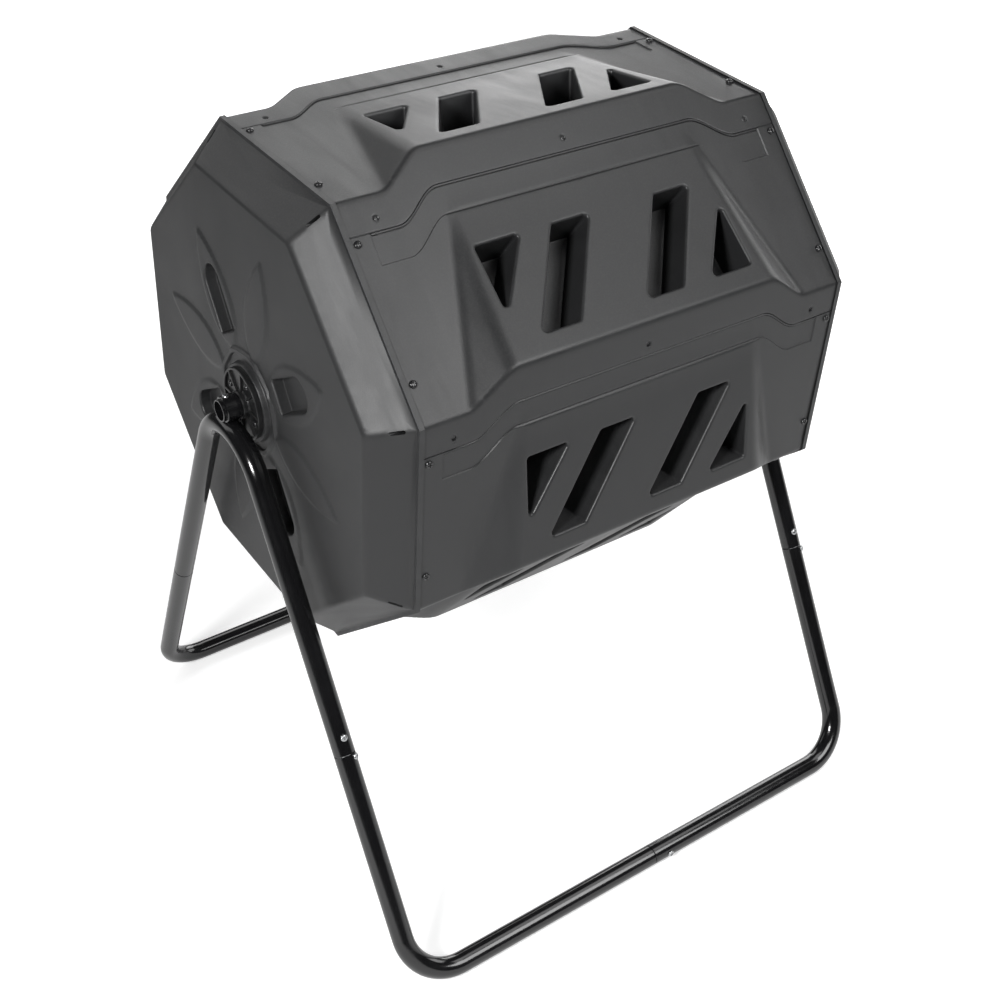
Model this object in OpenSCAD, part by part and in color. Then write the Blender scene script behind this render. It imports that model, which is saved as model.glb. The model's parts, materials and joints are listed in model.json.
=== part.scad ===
// Compost tumbler: an eight-sided drum with two chambers, turning on the axle of a tube stand.
// X runs along the axle, Y across it and Z up. The origin is on the floor under the drum's middle.
// A face has its own frame: x along the axle, y up towards the panel before it, z outwards.

/* [Drum] */
// Distance from the axle's centre line to a flat face
drum_apothem = 280; // [230:1:340]
// Length of the panels along the axle
panel_len = 560; // [460:1:680]
// Wall of the moulded plastic
wall = 3; // [2:0.5:4]
// How far an end cap's bevelled rim reaches past the panels
cap_depth = 42; // [30:1:60]
// How far that bevel steps in towards the axle
cap_inset = 36; // [20:1:50]
// Turn of the drum at rest, in degrees
drum_roll = 5; // [0:1:44]

/* [Mixing wedges] */
// Height of a wedge's crest above its face
crest_h = 25; // [15:1:30]
// Distance from the upper seam to the foot of a wedge
foot_lap = 38; // [30:1:50]
// Half width of a wedge at its foot
foot_half = 160; // [140:1:170]
// Half width of a wedge at its crest
crest_half = 174; // [171:1:185]
// Distance from a panel's end to where a wedge's side runs out
wedge_margin = 58; // [50:1:70]
// Depth of the pockets in a wedge
pocket_depth = 45; // [20:1:60]
// Width of a slanted pocket
slot_w = 48; // [30:1:52]
// How far the lower end of a slanted pocket is shifted
slot_lean = 69.5; // [40:0.5:72]
// Distance from the middle to the upper end of a slanted pocket
slot_x = 33; // [30:1:36]
// Width of a three-sided pocket
tri_w = 55; // [40:1:58]
// Height of a three-sided pocket
tri_h = 71.5; // [50:0.5:80]
// Distance from the middle to the upright side of a three-sided pocket
tri_x = 153; // [150:1:155]

/* [Panel seams] */
// Overlap of a flange at the panel's ends
lap_end = 35.5; // [30:0.5:40]
// Overlap of a flange at its middle
lap_mid = 5.5; // [5:0.5:12]
// Depth of the rebate at the panel's ends
rebate_end = 70; // [60:1:80]
// Gap along a flange's edge
seam_gap = 1; // [0.5:0.25:2]
// Width of the doubled strip at a panel's ends
strip_w = 20; // [16:1:26]

/* [Doors] */
// Travel clearance around a door
door_gap = 0.5; // [0.3:0.1:0.8]
// Thickness of a door
door_t = 3; // [2:0.5:4]
// How far a door laps over the edge of its opening
door_lap = 8; // [6:1:12]
// Width of the lip that holds a door down
rail_lip = 5; // [4:1:7]
// Height of the grip on a door
grip_h = 14; // [8:1:18]

/* [Hub] */
// Radius of a hub's flange
hub_r = 42; // [36:1:44]
// Wall of a hub's sleeve
hub_wall = 3.3; // [2.5:0.1:5]
// Running clearance between hub and axle, on the radius
run_gap = 0.08; // [0.05:0.01:0.1]
// Outer radius of the raised ring round the hub
ring_r = 62; // [58:1:66]

/* [Stand] */
// Height of the axle above the floor
axle_h = 622; // [560:1:740]
// Outside diameter of the axle tube
axle_d = 25.4; // [21:0.1:31]
// Outside diameter of the stand's tubes
tube_d = 25.4; // [20:0.1:32]
// Wall of every tube
tube_wall = 1.5; // [1.2:0.1:2]
// Height at which the legs' centre lines would meet
meet_h = 677; // [672:1:740]
// Distance from the middle to a floor bar's centre line
bar_y = 348; // [300:1:420]
// Bend radius at the floor corners
corner_bend = 62; // [50:1:90]
// Distance from an end cap's face to a leg's centre line, at the top
leg_gap = 29; // [27:1:40]
// How far a leg leans in towards the floor
leg_lean = 5.5; // [0:0.5:10]
// Distance along a leg from the meeting point to the joint
leg_joint = 456; // [400:1:480]
// Place of the joint in a floor bar
bar_joint = 5; // [0:1:20]

/* [Hidden] */
$fn = 48;
sides = 8;
step = 360 / sides;
half_len = panel_len / 2;
top = drum_apothem * tan(step / 2);
foot_y = top - foot_lap;
crest_y = crest_h - top;
wedge_end_half = half_len - wedge_margin;
curve_steps = 8;
curve_w = 56;
curve_out = half_len - 60;
curve_in = curve_out - curve_w;
rebate_half = half_len - 26;
strip_y = top - 4;
tongue_half = 150;
tongue_up = 22;
eps = 0.5;

// Screws: shank, head and the holes they sit in.
shank_r = 2;
head_r = 4.2;
head_h = 2.6;
head_top = 0.6;
recess_slot = 0.9;
hole_r = shank_r + 0.1;
leg_screw_len = 2 * tube_wall + 2;
cap_screw_len = 3 * wall + 1;
seam_screw_len = 2 * wall + 3;
divider_screw_len = 2 * wall + 8;
cap_screw_x = half_len - 10;
cap_screw_y = top - 44;
seam_screw_x = half_len - 39;
seam_screw_drop = 23;
seam_screw_rise = 8;

// Door, rails and opening, in the door face's frame.
door_face = 7;
door_foot_y = 58 - top;
rail_wall = 3.5;
lip_t = 2.5;
rail_top = top - lap_end - 3;
rail_bottom = door_foot_y + 1;
rail_end = half_len - 18;
post_half = 4;
door_y1 = rail_top - rail_wall - door_gap;
door_y0 = rail_bottom + rail_wall + door_gap;
door_x0 = post_half + door_gap;
door_x2 = rail_end - rail_wall - door_gap;
door_w = (door_x2 - door_x0 + door_lap) / 2;
grip_r = 6;
grip_span = 56;

// End caps and hubs.
cap_x = half_len + cap_depth;
cap_face_apothem = drum_apothem - cap_inset;
skirt_apothem = drum_apothem - 2 * wall;
seat_h = 6;
seat_r = 46;
hub_disc = 3;
hub_rim_h = 6;
hub_rim_w = 3;
hub_rib_w = 3;
hub_rib_h = 5;
hub_reach = 22;
ring_h = 3.5;
ring_w = 7;
hub_x = cap_x + seat_h;
boss_x = hub_x + 9.5;
recess_r0 = 79;
recess_r1 = 157;
recess_w = 40;
recess_depth = 14;
recess_turn = 57;
vent_len = 17;
vent_w = 4;
axle_r = axle_d / 2;
hub_boss_r = axle_r + hub_wall;
hub_bore_r = axle_r + run_gap;
hub_screw_r = 30;
hub_screw_len = hub_disc + seat_h + 2 * wall - 1;

// Stand.
tube_r = tube_d / 2;
tube_bore_r = tube_r - tube_wall;
spigot_r = tube_bore_r - 0.1;
sleeve_wall = 2.6;
sleeve_r = axle_r + sleeve_wall;
axle_screw_len = sleeve_wall + tube_wall - 0.1;
saddle = 3;
leg_top_x = cap_x + leg_gap;
leg_foot_x = leg_top_x - leg_lean;
half_angle = atan(bar_y / (meet_h - tube_r));
seat_z = axle_h - sleeve_r - tube_r + saddle;
apex_bend = (meet_h - seat_z) / (1 / sin(half_angle) - 1);
axle_half = leg_top_x + 10;
sleeve_x0 = boss_x + 1;
sleeve_x1 = leg_top_x + 6;
coupler_half = 45;
upper_screw = 21;
lower_screw = 5;
lower_screw_turn = 37;
bar_screw = 23;
spigot_len = 45;
swage_len = 5;

function unit(v) = v / norm(v);
function ease(t) = t * t * (3 - 2 * t);
function basis(o, x, y) = let (z = cross(x, y)) [
    [x[0], y[0], z[0], o[0]],
    [x[1], y[1], z[1], o[1]],
    [x[2], y[2], z[2], o[2]],
    [0, 0, 0, 1]
];

// ---- Faces of the drum ----

module on_face(k) {
    translate([0, 0, axle_h])
        rotate([drum_roll + step * k, 0, 0])
            translate([0, 0, drum_apothem])
                children();
}

// A flat piece on a face, from depth z0 to z1.
module plate(points, z0, z1) {
    translate([0, 0, z0]) linear_extrude(z1 - z0) polygon(points);
}

// The curved part of an edge: from y_in at the middle of the panel to y_out at its ends.
function curve(y_in, y_out, side) = [
    for (i = [0:curve_steps])
        let (t = i / curve_steps, s = side > 0 ? t : 1 - t)
            [side * (curve_in + curve_w * s), y_in + (y_out - y_in) * ease(s)]
];
function wavy_edge(y_in, y_out) = concat(curve(y_in, y_out, -1), curve(y_in, y_out, 1));

flange_edge = concat(
    [[-half_len, top - lap_end]],
    wavy_edge(top - lap_mid, top - lap_end),
    [[half_len, top - lap_end]]
);

// The rebate's outline, moved down by drop. A door panel's rebate only takes the flange.
function rebate_edge(drop, door) = let (
    y_flange = top - lap_end - seam_gap - drop,
    y_end = door ? y_flange : top - rebate_end - drop,
    y_mid = door ? top - lap_mid - seam_gap - drop : foot_y - drop
) concat(
    [[-half_len, y_flange], [drop - rebate_half, y_flange], [drop - rebate_half, y_end]],
    wavy_edge(y_mid, y_end),
    [[rebate_half - drop, y_end], [rebate_half - drop, y_flange], [half_len, y_flange]]
);

// ---- Wedge, as the room between five planes ----

function plane_at(n, p, inset) = let (u = unit(n)) [u, u * p - inset];
function meet(a, b, c) =
    (a[1] * cross(b[0], c[0]) + b[1] * cross(c[0], a[0]) + c[1] * cross(a[0], b[0]))
    / (a[0] * cross(b[0], c[0]));
function side_half(y) = foot_half + (wedge_end_half - foot_half) * (foot_y - y) / (foot_y + top);
function side_plane(s, foot, inset) = let (
    a = [s * side_half(foot), foot, 0],
    b = [s * wedge_end_half, -top, 0],
    c = [s * crest_half, crest_y, crest_h]
) plane_at(s * cross(c - a, b - a), b, inset);

module wedge(foot, inset, base) {
    plateau = plane_at([0, crest_h, foot - crest_y], [0, foot, 0], inset);
    front = plane_at([0, -1, 1], [0, -top, 0], inset);
    floor = plane_at([0, 0, -1], [0, 0, -base], 0);
    left = side_plane(-1, foot, inset);
    right = side_plane(1, foot, inset);
    polyhedron(
        points = [
            meet(plateau, left, floor), meet(plateau, right, floor),
            meet(front, right, floor), meet(front, left, floor),
            meet(plateau, front, left), meet(plateau, front, right)
        ],
        faces = [[0, 3, 2, 1], [0, 1, 5, 4], [4, 5, 2, 3], [5, 1, 2], [0, 4, 3]]
    );
}

// ---- Pockets, on the wedge's plateau ----

slope = atan(crest_h / (foot_y - crest_y));
pocket_y0 = crest_y + 24;
pocket_y1 = foot_y - 39.5;
pocket_mid = (pocket_y0 + pocket_y1) / 2;
pocket_half = (pocket_y1 - pocket_y0) / 2 / cos(slope);

module on_plateau() {
    translate([0, pocket_mid, (foot_y - pocket_mid) * tan(slope)]) rotate([-slope, 0, 0]) children();
}

slot_points = [
    [-slot_x - slot_w / 2, pocket_half],
    [-slot_x - slot_w / 2 - slot_lean, -pocket_half],
    [-slot_x + slot_w / 2 - slot_lean, -pocket_half],
    [-slot_x + slot_w / 2, pocket_half]
];
tri_foot = 6;
tri_points = [
    [-tri_x, pocket_half],
    [-tri_x, pocket_half - tri_h],
    [tri_foot - tri_x, pocket_half - tri_h],
    [tri_w - tri_x, pocket_half]
];

// Moves each side of an outline out by d; the points run anticlockwise.
function grow(p, d) = let (n = len(p)) [
    for (i = [0:n - 1])
        let (
            u = unit(p[i] - p[(i + n - 1) % n]),
            v = unit(p[(i + 1) % n] - p[i]),
            a = [u[1], -u[0]],
            b = [v[1], -v[0]]
        ) p[i] + d * (a + b) / (1 + a * b)
];

// The four pockets: a pair, and the same pair turned half round.
module pockets(grown, z0, z1) {
    on_plateau()
        for (turn = [0, 180])
            rotate([0, 0, turn]) {
                plate(grow(slot_points, grown), z0, z1);
                plate(grow(tri_points, grown), z0, z1);
            }
}

// ---- Panels ----

module panel_body(foot, door) {
    difference() {
        union() {
            plate(concat([[-half_len, -top]], rebate_edge(0, door), [[half_len, -top]]), -wall, 0);
            wedge(foot, 0, eps);
        }
        wedge(foot, wall, wall + 1);
    }
    // the rebate that the panel before it laps over, and the tongue behind that panel's crest
    plate(concat([[-half_len, top - 2]], rebate_edge(wall, door), [[half_len, top - 2]]),
        -2 * wall, -wall);
    plate([[-tongue_half, top - 3], [tongue_half, top - 3],
        [tongue_half, top + tongue_up], [-tongue_half, top + tongue_up]], -2 * wall, -wall);
    // the doubled strips at the ends
    for (s = [-1, 1])
        translate([s * (half_len - strip_w / 2), 0, -1.5 * wall])
            cube([strip_w, 2 * strip_y, wall], center = true);
}

module flange() {
    plate(concat([[-half_len, top]], flange_edge, [[half_len, top]]), -wall, 0);
}

module hole(x, y, depth) {
    translate([x, y, -depth]) cylinder(h = depth + eps, r = hole_r);
}

module own_holes() {
    for (s = [-1, 1]) {
        for (t = [-1, 1])
            hole(s * cap_screw_x, t * cap_screw_y, 2 * wall + eps);
        hole(s * seam_screw_x, top - seam_screw_drop, 2 * wall + eps);
    }
    hole(0, top + seam_screw_rise, 2 * wall + eps);
}

module lap_holes() {
    for (s = [-1, 1])
        hole(s * seam_screw_x, top - seam_screw_drop, wall + eps);
    hole(0, top + seam_screw_rise, wall + eps);
}

module panel(k) {
    color("#3a3b3d")
        difference() {
            union() {
                on_face(k) panel_body(foot_y, false);
                on_face(k + 1) flange();
                on_face(k) pockets(wall, -pocket_depth - wall, -wall / 2);
            }
            on_face(k) pockets(0, -pocket_depth, 2);
            on_face(k) own_holes();
            on_face(k + 1) lap_holes();
        }
}

// ---- Door panel ----

rail_h = door_t + 2 * door_gap;

module rails() {
    rail_len = 2 * rail_end;
    lip = rail_wall + rail_lip;
    for (s = [-1, 1]) {
        y = s > 0 ? rail_top : rail_bottom;
        translate([-rail_end, y - (s > 0 ? rail_wall : 0), -eps])
            cube([rail_len, rail_wall, rail_h + eps]);
        translate([-rail_end, y - (s > 0 ? lip : 0), rail_h])
            cube([rail_len, lip, lip_t]);
        // stops for the open doors
        for (t = [-1, 1])
            translate([t * (rail_end - rail_wall / 2), y - s * lip / 2, rail_h / 2])
                cube([rail_wall, lip, rail_h + 2 * eps], center = true);
    }
    // post that the closed doors meet
    translate([-post_half, rail_bottom, -eps])
        cube([2 * post_half, rail_top - rail_bottom, rail_h + eps]);
}

module openings() {
    for (s = [-1, 1])
        translate([s * (door_x0 + door_w / 2), (door_y0 + door_y1) / 2, -wall / 2])
            cube([door_w - 2 * door_lap, door_y1 - door_y0 - 2 * door_lap, 3 * wall], center = true);
}

module door_panel() {
    color("#3a3b3d")
        difference() {
            union() {
                on_face(door_face) panel_body(door_foot_y, true);
                on_face(door_face + 1) flange();
                on_face(door_face) rails();
            }
            on_face(door_face) openings();
            on_face(door_face) own_holes();
            on_face(door_face + 1) lap_holes();
        }
}

module door(side) {
    color("#2f3032")
        on_face(door_face)
            translate([side * (door_x0 + door_w / 2), (door_y0 + door_y1) / 2, door_gap]) {
                translate([0, 0, door_t / 2])
                    cube([door_w, door_y1 - door_y0, door_t], center = true);
                hull()
                    for (t = [-1, 1])
                        translate([0, t * grip_span / 2, door_t / 2])
                            cylinder(h = grip_h, r1 = grip_r + 2, r2 = grip_r - 2, $fn = 32);
            }
}

// ---- End caps, divider and hubs ----

// An eight-sided prism or frustum along +X, on the drum's axle.
module octagon(x, len, apothem, far_apothem) {
    translate([x, 0, axle_h])
        rotate([drum_roll, 0, 0])
            rotate([0, 90, 0])
                rotate([0, 0, step / 2])
                    cylinder(h = len, r1 = apothem / cos(step / 2), r2 = far_apothem / cos(step / 2),
                        $fn = sides);
}

module round_bar(x, len, r) {
    translate([x, 0, axle_h]) rotate([0, 90, 0]) cylinder(h = len, r = r);
}

// A place on the cap at an angle from the first face's normal.
module on_cap(angle) {
    translate([0, 0, axle_h]) rotate([drum_roll + angle, 0, 0]) children();
}

module recesses(grown, x0, x1) {
    r1 = recess_r1 - recess_w / 2;
    for (k = [0:3])
        on_cap(recess_turn + 90 * k) {
            translate([x0, -recess_w / 2 - grown, recess_r0 - grown])
                cube([x1 - x0, recess_w + 2 * grown, r1 - recess_r0 + grown]);
            translate([x0, 0, r1])
                rotate([0, 90, 0])
                    cylinder(h = x1 - x0, r = recess_w / 2 + grown);
        }
}

module vents() {
    ridge_r = drum_apothem / cos(step / 2);
    ridge_in = cap_inset / cos(step / 2);
    for (k = [0:sides - 1])
        on_cap(step * (k + 0.5))
            translate([half_len + cap_depth * 0.43, 0, ridge_r - ridge_in * 0.43])
                rotate([0, atan(ridge_in / cap_depth), 0])
                    cube([vent_len, vent_w, 6 * wall], center = true);
}

module right_cap() {
    difference() {
        union() {
            difference() {
                octagon(half_len, cap_depth, drum_apothem, cap_face_apothem);
                octagon(half_len - eps, cap_depth + eps - wall,
                    drum_apothem - wall, cap_face_apothem - wall);
            }
            // rim that closes the step between the cap and its skirt
            difference() {
                octagon(half_len, wall, drum_apothem - wall / 2, drum_apothem - wall / 2);
                octagon(half_len - eps, wall + 2 * eps, skirt_apothem - wall, skirt_apothem - wall);
            }
            difference() {
                octagon(half_len - strip_w, strip_w + eps, skirt_apothem, skirt_apothem);
                octagon(half_len - strip_w - eps, strip_w + 3 * eps,
                    skirt_apothem - wall, skirt_apothem - wall);
            }
            recesses(wall, cap_x - recess_depth - wall, cap_x - wall / 2);
            round_bar(cap_x - 2 * wall, 2 * wall + seat_h, seat_r);
            difference() {
                round_bar(cap_x - wall, wall + ring_h, ring_r);
                round_bar(cap_x, wall + ring_h, ring_r - ring_w);
            }
        }
        recesses(0, cap_x - recess_depth, cap_x + wall);
        vents();
        round_bar(cap_x - 3 * wall, 3 * wall + seat_h + eps, hub_boss_r + 0.2);
        for (k = [0:sides - 1])
            on_face(k)
                for (t = [-1, 1])
                    hole(cap_screw_x, t * cap_screw_y, 4 * wall);
        hub_holes();
    }
}

module hub_holes() {
    for (k = [0:3])
        on_cap(90 * k + step / 2)
            translate([cap_x - 3 * wall, 0, hub_screw_r])
                rotate([0, 90, 0])
                    cylinder(h = 3 * wall + seat_h + 10, r = hole_r);
}

module right_hub() {
    difference() {
        union() {
            round_bar(hub_x, hub_disc, hub_r);
            difference() {
                round_bar(hub_x, hub_rim_h, hub_r);
                round_bar(hub_x - eps, hub_rim_h + 2 * eps, hub_r - hub_rim_w);
            }
            round_bar(cap_x - hub_reach, boss_x - cap_x + hub_reach, hub_boss_r);
            // ribs between the sleeve and the rim
            for (k = [0:sides - 1])
                on_cap(step * k)
                    translate([hub_x + eps, -hub_rib_w / 2, hub_boss_r - 2])
                        cube([hub_rib_h, hub_rib_w, hub_r - hub_boss_r]);
        }
        round_bar(cap_x - hub_reach - 1, boss_x - cap_x + hub_reach + 2, hub_bore_r);
        hub_holes();
    }
}

// The left end is the mirror image of the right one.
module left_side() {
    mirror([1, 0, 0]) children();
}

// The divider's edge on one face, as points across the axle.
function spin(y, z, k) = let (t = drum_roll + step * k, r = drum_apothem + z) [
    y * cos(t) - r * sin(t),
    axle_h + y * sin(t) + r * cos(t)
];
divider_gap = 0.6;
divider_t = 3;
function divider_side(k) = let (
    foot = k == door_face ? door_foot_y : foot_y,
    m = crest_h / (foot - crest_y),
    deep = 2 * wall + divider_gap,
    shallow = wall + divider_gap,
    drop = shallow * sqrt(1 + m * m),
    y2 = min(foot_y, top - lap_mid - seam_gap) - wall - 1,
    y3 = min(foot, y2),
    yc = (m * foot - drop - top + deep * sqrt(2)) / (1 + m)
) [
    spin(top - 3, -deep, k),
    spin(y2, -deep, k),
    spin(y2, -shallow, k),
    spin(y3 - 1, m * (foot - y3 + 1) - drop, k),
    spin(yc, m * (foot - yc) - drop, k)
];

module divider() {
    boss = 12;
    color("#343537")
        difference() {
            union() {
                translate([-divider_t / 2, 0, 0])
                    rotate([90, 0, 90])
                        linear_extrude(divider_t)
                            polygon([for (k = [0:sides - 1]) each divider_side(k)]);
                for (k = [0:sides - 1])
                    on_face(k)
                        translate([0, top + seam_screw_rise, -2 * wall - boss / 2])
                            cube([boss, boss, boss], center = true);
            }
            round_bar(-10, 20, axle_r + 1);
            for (k = [0:sides - 1])
                on_face(k) hole(0, top + seam_screw_rise, 2 * wall + boss - 1);
        }
}

// ---- Stand ----

module annulus(r_out, r_in) {
    difference() {
        circle(r = r_out);
        circle(r = r_in);
    }
}

// A straight tube from p to q.
module tube_run(p, q, r_out, r_in) {
    d = unit(q - p);
    x = unit(cross([0, 1, 0], d));
    multmatrix(basis(p, x, cross(d, x)))
        linear_extrude(norm(q - p))
            annulus(r_out, r_in);
}

// A short key inside the wall, which ties a bend to the straight run that leaves it at p along d.
key_len = 4;
key_inset = 0.4;
joint_gap = 0.02;
module wall_key(p, d) {
    tube_run(p - d * key_len / 2, p + d * key_len / 2, tube_r - key_inset, tube_bore_r + key_inset);
}

// A bent tube round the corner p, between the directions a and b that leave it.
function bend_reach(a, b, r) = r / tan(acos(a * b) / 2);
module tube_bend(p, a, b, r) {
    turn = 180 - acos(a * b);
    centre = p + unit(a + b) * r / cos(turn / 2);
    start = p + a * bend_reach(a, b, r);
    multmatrix(basis(centre, unit(start - centre), -a))
        rotate_extrude(angle = turn)
            translate([r, 0])
                annulus(tube_r, tube_bore_r);
    for (d = [a, b])
        wall_key(p + d * bend_reach(a, b, r), d);
}

function apex(side) = [side * leg_top_x, 0, meet_h];
function corner(side, end) = [side * leg_foot_x, end * bar_y, tube_r];
function leg_dir(side, end) = unit(corner(side, end) - apex(side));
function on_leg(side, end, s) = apex(side) + leg_dir(side, end) * s;

// Outward direction across a leg: in its plane, or turned from there towards -X.
function leg_out(side, end, turn) = let (
    d = leg_dir(side, end),
    w = unit(cross(d, [0, 0, 1]) * -end),
    out = cross(d, w) * end
) cos(turn) * out - sin(turn) * w;

module screw(len) {
    difference() {
        union() {
            translate([0, 0, -len]) cylinder(h = len + eps, r = shank_r, $fn = 24);
            cylinder(h = head_h / 2, r = head_r, $fn = 24);
            translate([0, 0, head_h / 2])
                cylinder(h = head_h / 2, r1 = head_r, r2 = head_r * head_top, $fn = 24);
        }
        for (t = [0, 90])
            rotate([0, 0, t])
                translate([0, 0, head_h]) cube([head_r, recess_slot, head_h], center = true);
    }
}

// A place on a leg's surface, with z pointing out of the tube.
module on_leg_side(side, end, s, turn) {
    out = leg_out(side, end, turn);
    d = leg_dir(side, end);
    multmatrix(basis(on_leg(side, end, s) + out * tube_r, d, cross(out, d))) children();
}

module leg_screw_places(side, end) {
    on_leg_side(side, end, leg_joint - upper_screw, 0) children();
    on_leg_side(side, end, leg_joint + lower_screw, lower_screw_turn) children();
}

module screw_hole() {
    translate([0, 0, -8]) cylinder(h = 12, r = hole_r);
}

module apex_tube(side) {
    p = apex(side);
    a = leg_dir(side, -1);
    b = leg_dir(side, 1);
    reach = bend_reach(a, b, apex_bend) + joint_gap;
    color("#141416")
        difference() {
            union() {
                tube_bend(p, a, b, apex_bend);
                for (end = [-1, 1])
                    tube_run(on_leg(side, end, reach), on_leg(side, end, leg_joint - eps / 2),
                        tube_r, tube_bore_r);
            }
            round_bar(side * leg_top_x - 30, 60, sleeve_r);
            for (end = [-1, 1])
                leg_screw_places(side, end) screw_hole();
        }
}

module axle_sleeve(side) {
    color("#141416")
        difference() {
            round_bar(side > 0 ? sleeve_x0 : -sleeve_x1, sleeve_x1 - sleeve_x0, sleeve_r);
            round_bar(side * leg_top_x - 50, 100, axle_r + 0.1);
            axle_screw_place(side) screw_hole();
        }
}

module axle_screw_place(side) {
    translate([side * leg_top_x, 0, axle_h + sleeve_r]) children();
}

module axle() {
    color("#1b1b1d")
        difference() {
            round_bar(-axle_half, 2 * axle_half, axle_r);
            round_bar(-axle_half - 1, 2 * axle_half + 2, axle_r - tube_wall);
            for (side = [-1, 1])
                axle_screw_place(side) screw_hole();
        }
}

module corner_tube(side, end) {
    p = corner(side, end);
    up = -leg_dir(side, end);
    along = [-side, 0, 0];
    reach = bend_reach(up, along, corner_bend) + joint_gap;
    bar_start = p + along * reach;
    bar_stop = [side < 0 ? bar_joint - eps : bar_joint + eps, p[1], p[2]];
    color("#141416")
        difference() {
            union() {
                tube_run(on_leg(side, end, leg_joint + eps / 2), p + up * reach, tube_r, tube_bore_r);
                tube_bend(p, up, along, corner_bend);
                tube_run(bar_start, bar_stop, tube_r, tube_bore_r);
                if (side < 0) {
                    tube_run(bar_stop - [swage_len, 0, 0], bar_stop, tube_bore_r + eps, spigot_r - tube_wall);
                    tube_run(bar_stop - [swage_len, 0, 0], bar_stop + [spigot_len, 0, 0],
                        spigot_r, spigot_r - tube_wall);
                }
            }
            leg_screw_places(side, end) screw_hole();
            bar_screw_place(end) screw_hole();
        }
}

module bar_screw_place(end) {
    translate([bar_joint + bar_screw, end * bar_y, tube_r])
        rotate([end > 0 ? -90 : 90, 0, 0])
            translate([0, 0, tube_r])
                children();
}

module leg_coupler(side, end) {
    color("#8a8d90")
        difference() {
            tube_run(on_leg(side, end, leg_joint - coupler_half), on_leg(side, end, leg_joint + coupler_half),
                spigot_r, spigot_r - tube_wall);
            leg_screw_places(side, end) screw_hole();
        }
}

module leg_screws() {
    color("#c8cacc")
        for (side = [-1, 1])
            for (end = [-1, 1])
                leg_screw_places(side, end) screw(leg_screw_len);
}

module bar_screws() {
    color("#c8cacc")
        for (end = [-1, 1])
            bar_screw_place(end) screw(leg_screw_len);
}

module axle_screws() {
    color("#c8cacc")
        for (side = [-1, 1])
            axle_screw_place(side) screw(axle_screw_len);
}

module hub_screws() {
    color("#1b1b1d")
        for (side = [-1, 1])
            mirror([side < 0 ? 1 : 0, 0, 0])
                for (k = [0:3])
                    on_cap(90 * k + step / 2)
                        translate([hub_x + hub_disc, 0, hub_screw_r])
                            rotate([0, 90, 0])
                                screw(hub_screw_len);
}

module cap_screws() {
    color("#1b1b1d")
        for (k = [0:sides - 1])
            on_face(k)
                for (s = [-1, 1])
                    for (t = [-1, 1])
                        translate([s * cap_screw_x, t * cap_screw_y, 0])
                            screw(cap_screw_len);
}

module seam_screws() {
    color("#1b1b1d")
        for (k = [0:sides - 1])
            on_face(k)
                for (s = [-1, 1])
                    translate([s * seam_screw_x, top - seam_screw_drop, 0])
                        screw(seam_screw_len);
}

module divider_screws() {
    color("#1b1b1d")
        for (k = [0:sides - 1])
            on_face(k)
                translate([0, top + seam_screw_rise, 0])
                    screw(divider_screw_len);
}

module end_cap(side) {
    color("#353638")
        if (side < 0)
            left_side() right_cap();
        else
            right_cap();
}

module hub(side) {
    color("#232426")
        if (side < 0)
            left_side() right_hub();
        else
            right_hub();
}

apex_tube(-1);  // apex_tube_left
apex_tube(1);  // apex_tube_right
axle_sleeve(-1);  // axle_sleeve_left
axle_sleeve(1);  // axle_sleeve_right
axle();
corner_tube(-1, -1);  // corner_tube_front_left
corner_tube(1, -1);  // corner_tube_front_right
corner_tube(-1, 1);  // corner_tube_rear_left
corner_tube(1, 1);  // corner_tube_rear_right
leg_coupler(-1, -1);  // leg_coupler_front_left
leg_coupler(1, -1);  // leg_coupler_front_right
leg_coupler(-1, 1);  // leg_coupler_rear_left
leg_coupler(1, 1);  // leg_coupler_rear_right
leg_screws();
bar_screws();
axle_screws();
panel(0);  // panel_top
panel(1);  // panel_upper_front
panel(2);  // panel_front
panel(3);  // panel_lower_front
panel(4);  // panel_bottom
panel(5);  // panel_lower_rear
panel(6);  // panel_rear
door_panel();
door(-1);  // door_left
door(1);  // door_right
end_cap(-1);  // end_cap_left
end_cap(1);  // end_cap_right
divider();
hub(-1);  // hub_left
hub(1);  // hub_right
hub_screws();
cap_screws();
seam_screws();
divider_screws();
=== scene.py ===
import json
import math

import bmesh
import bpy
import numpy as np
from bpy.props import FloatProperty, FloatVectorProperty, PointerProperty
from mathutils import Matrix, Vector
from mathutils.geometry import delaunay_2d_cdt


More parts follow.
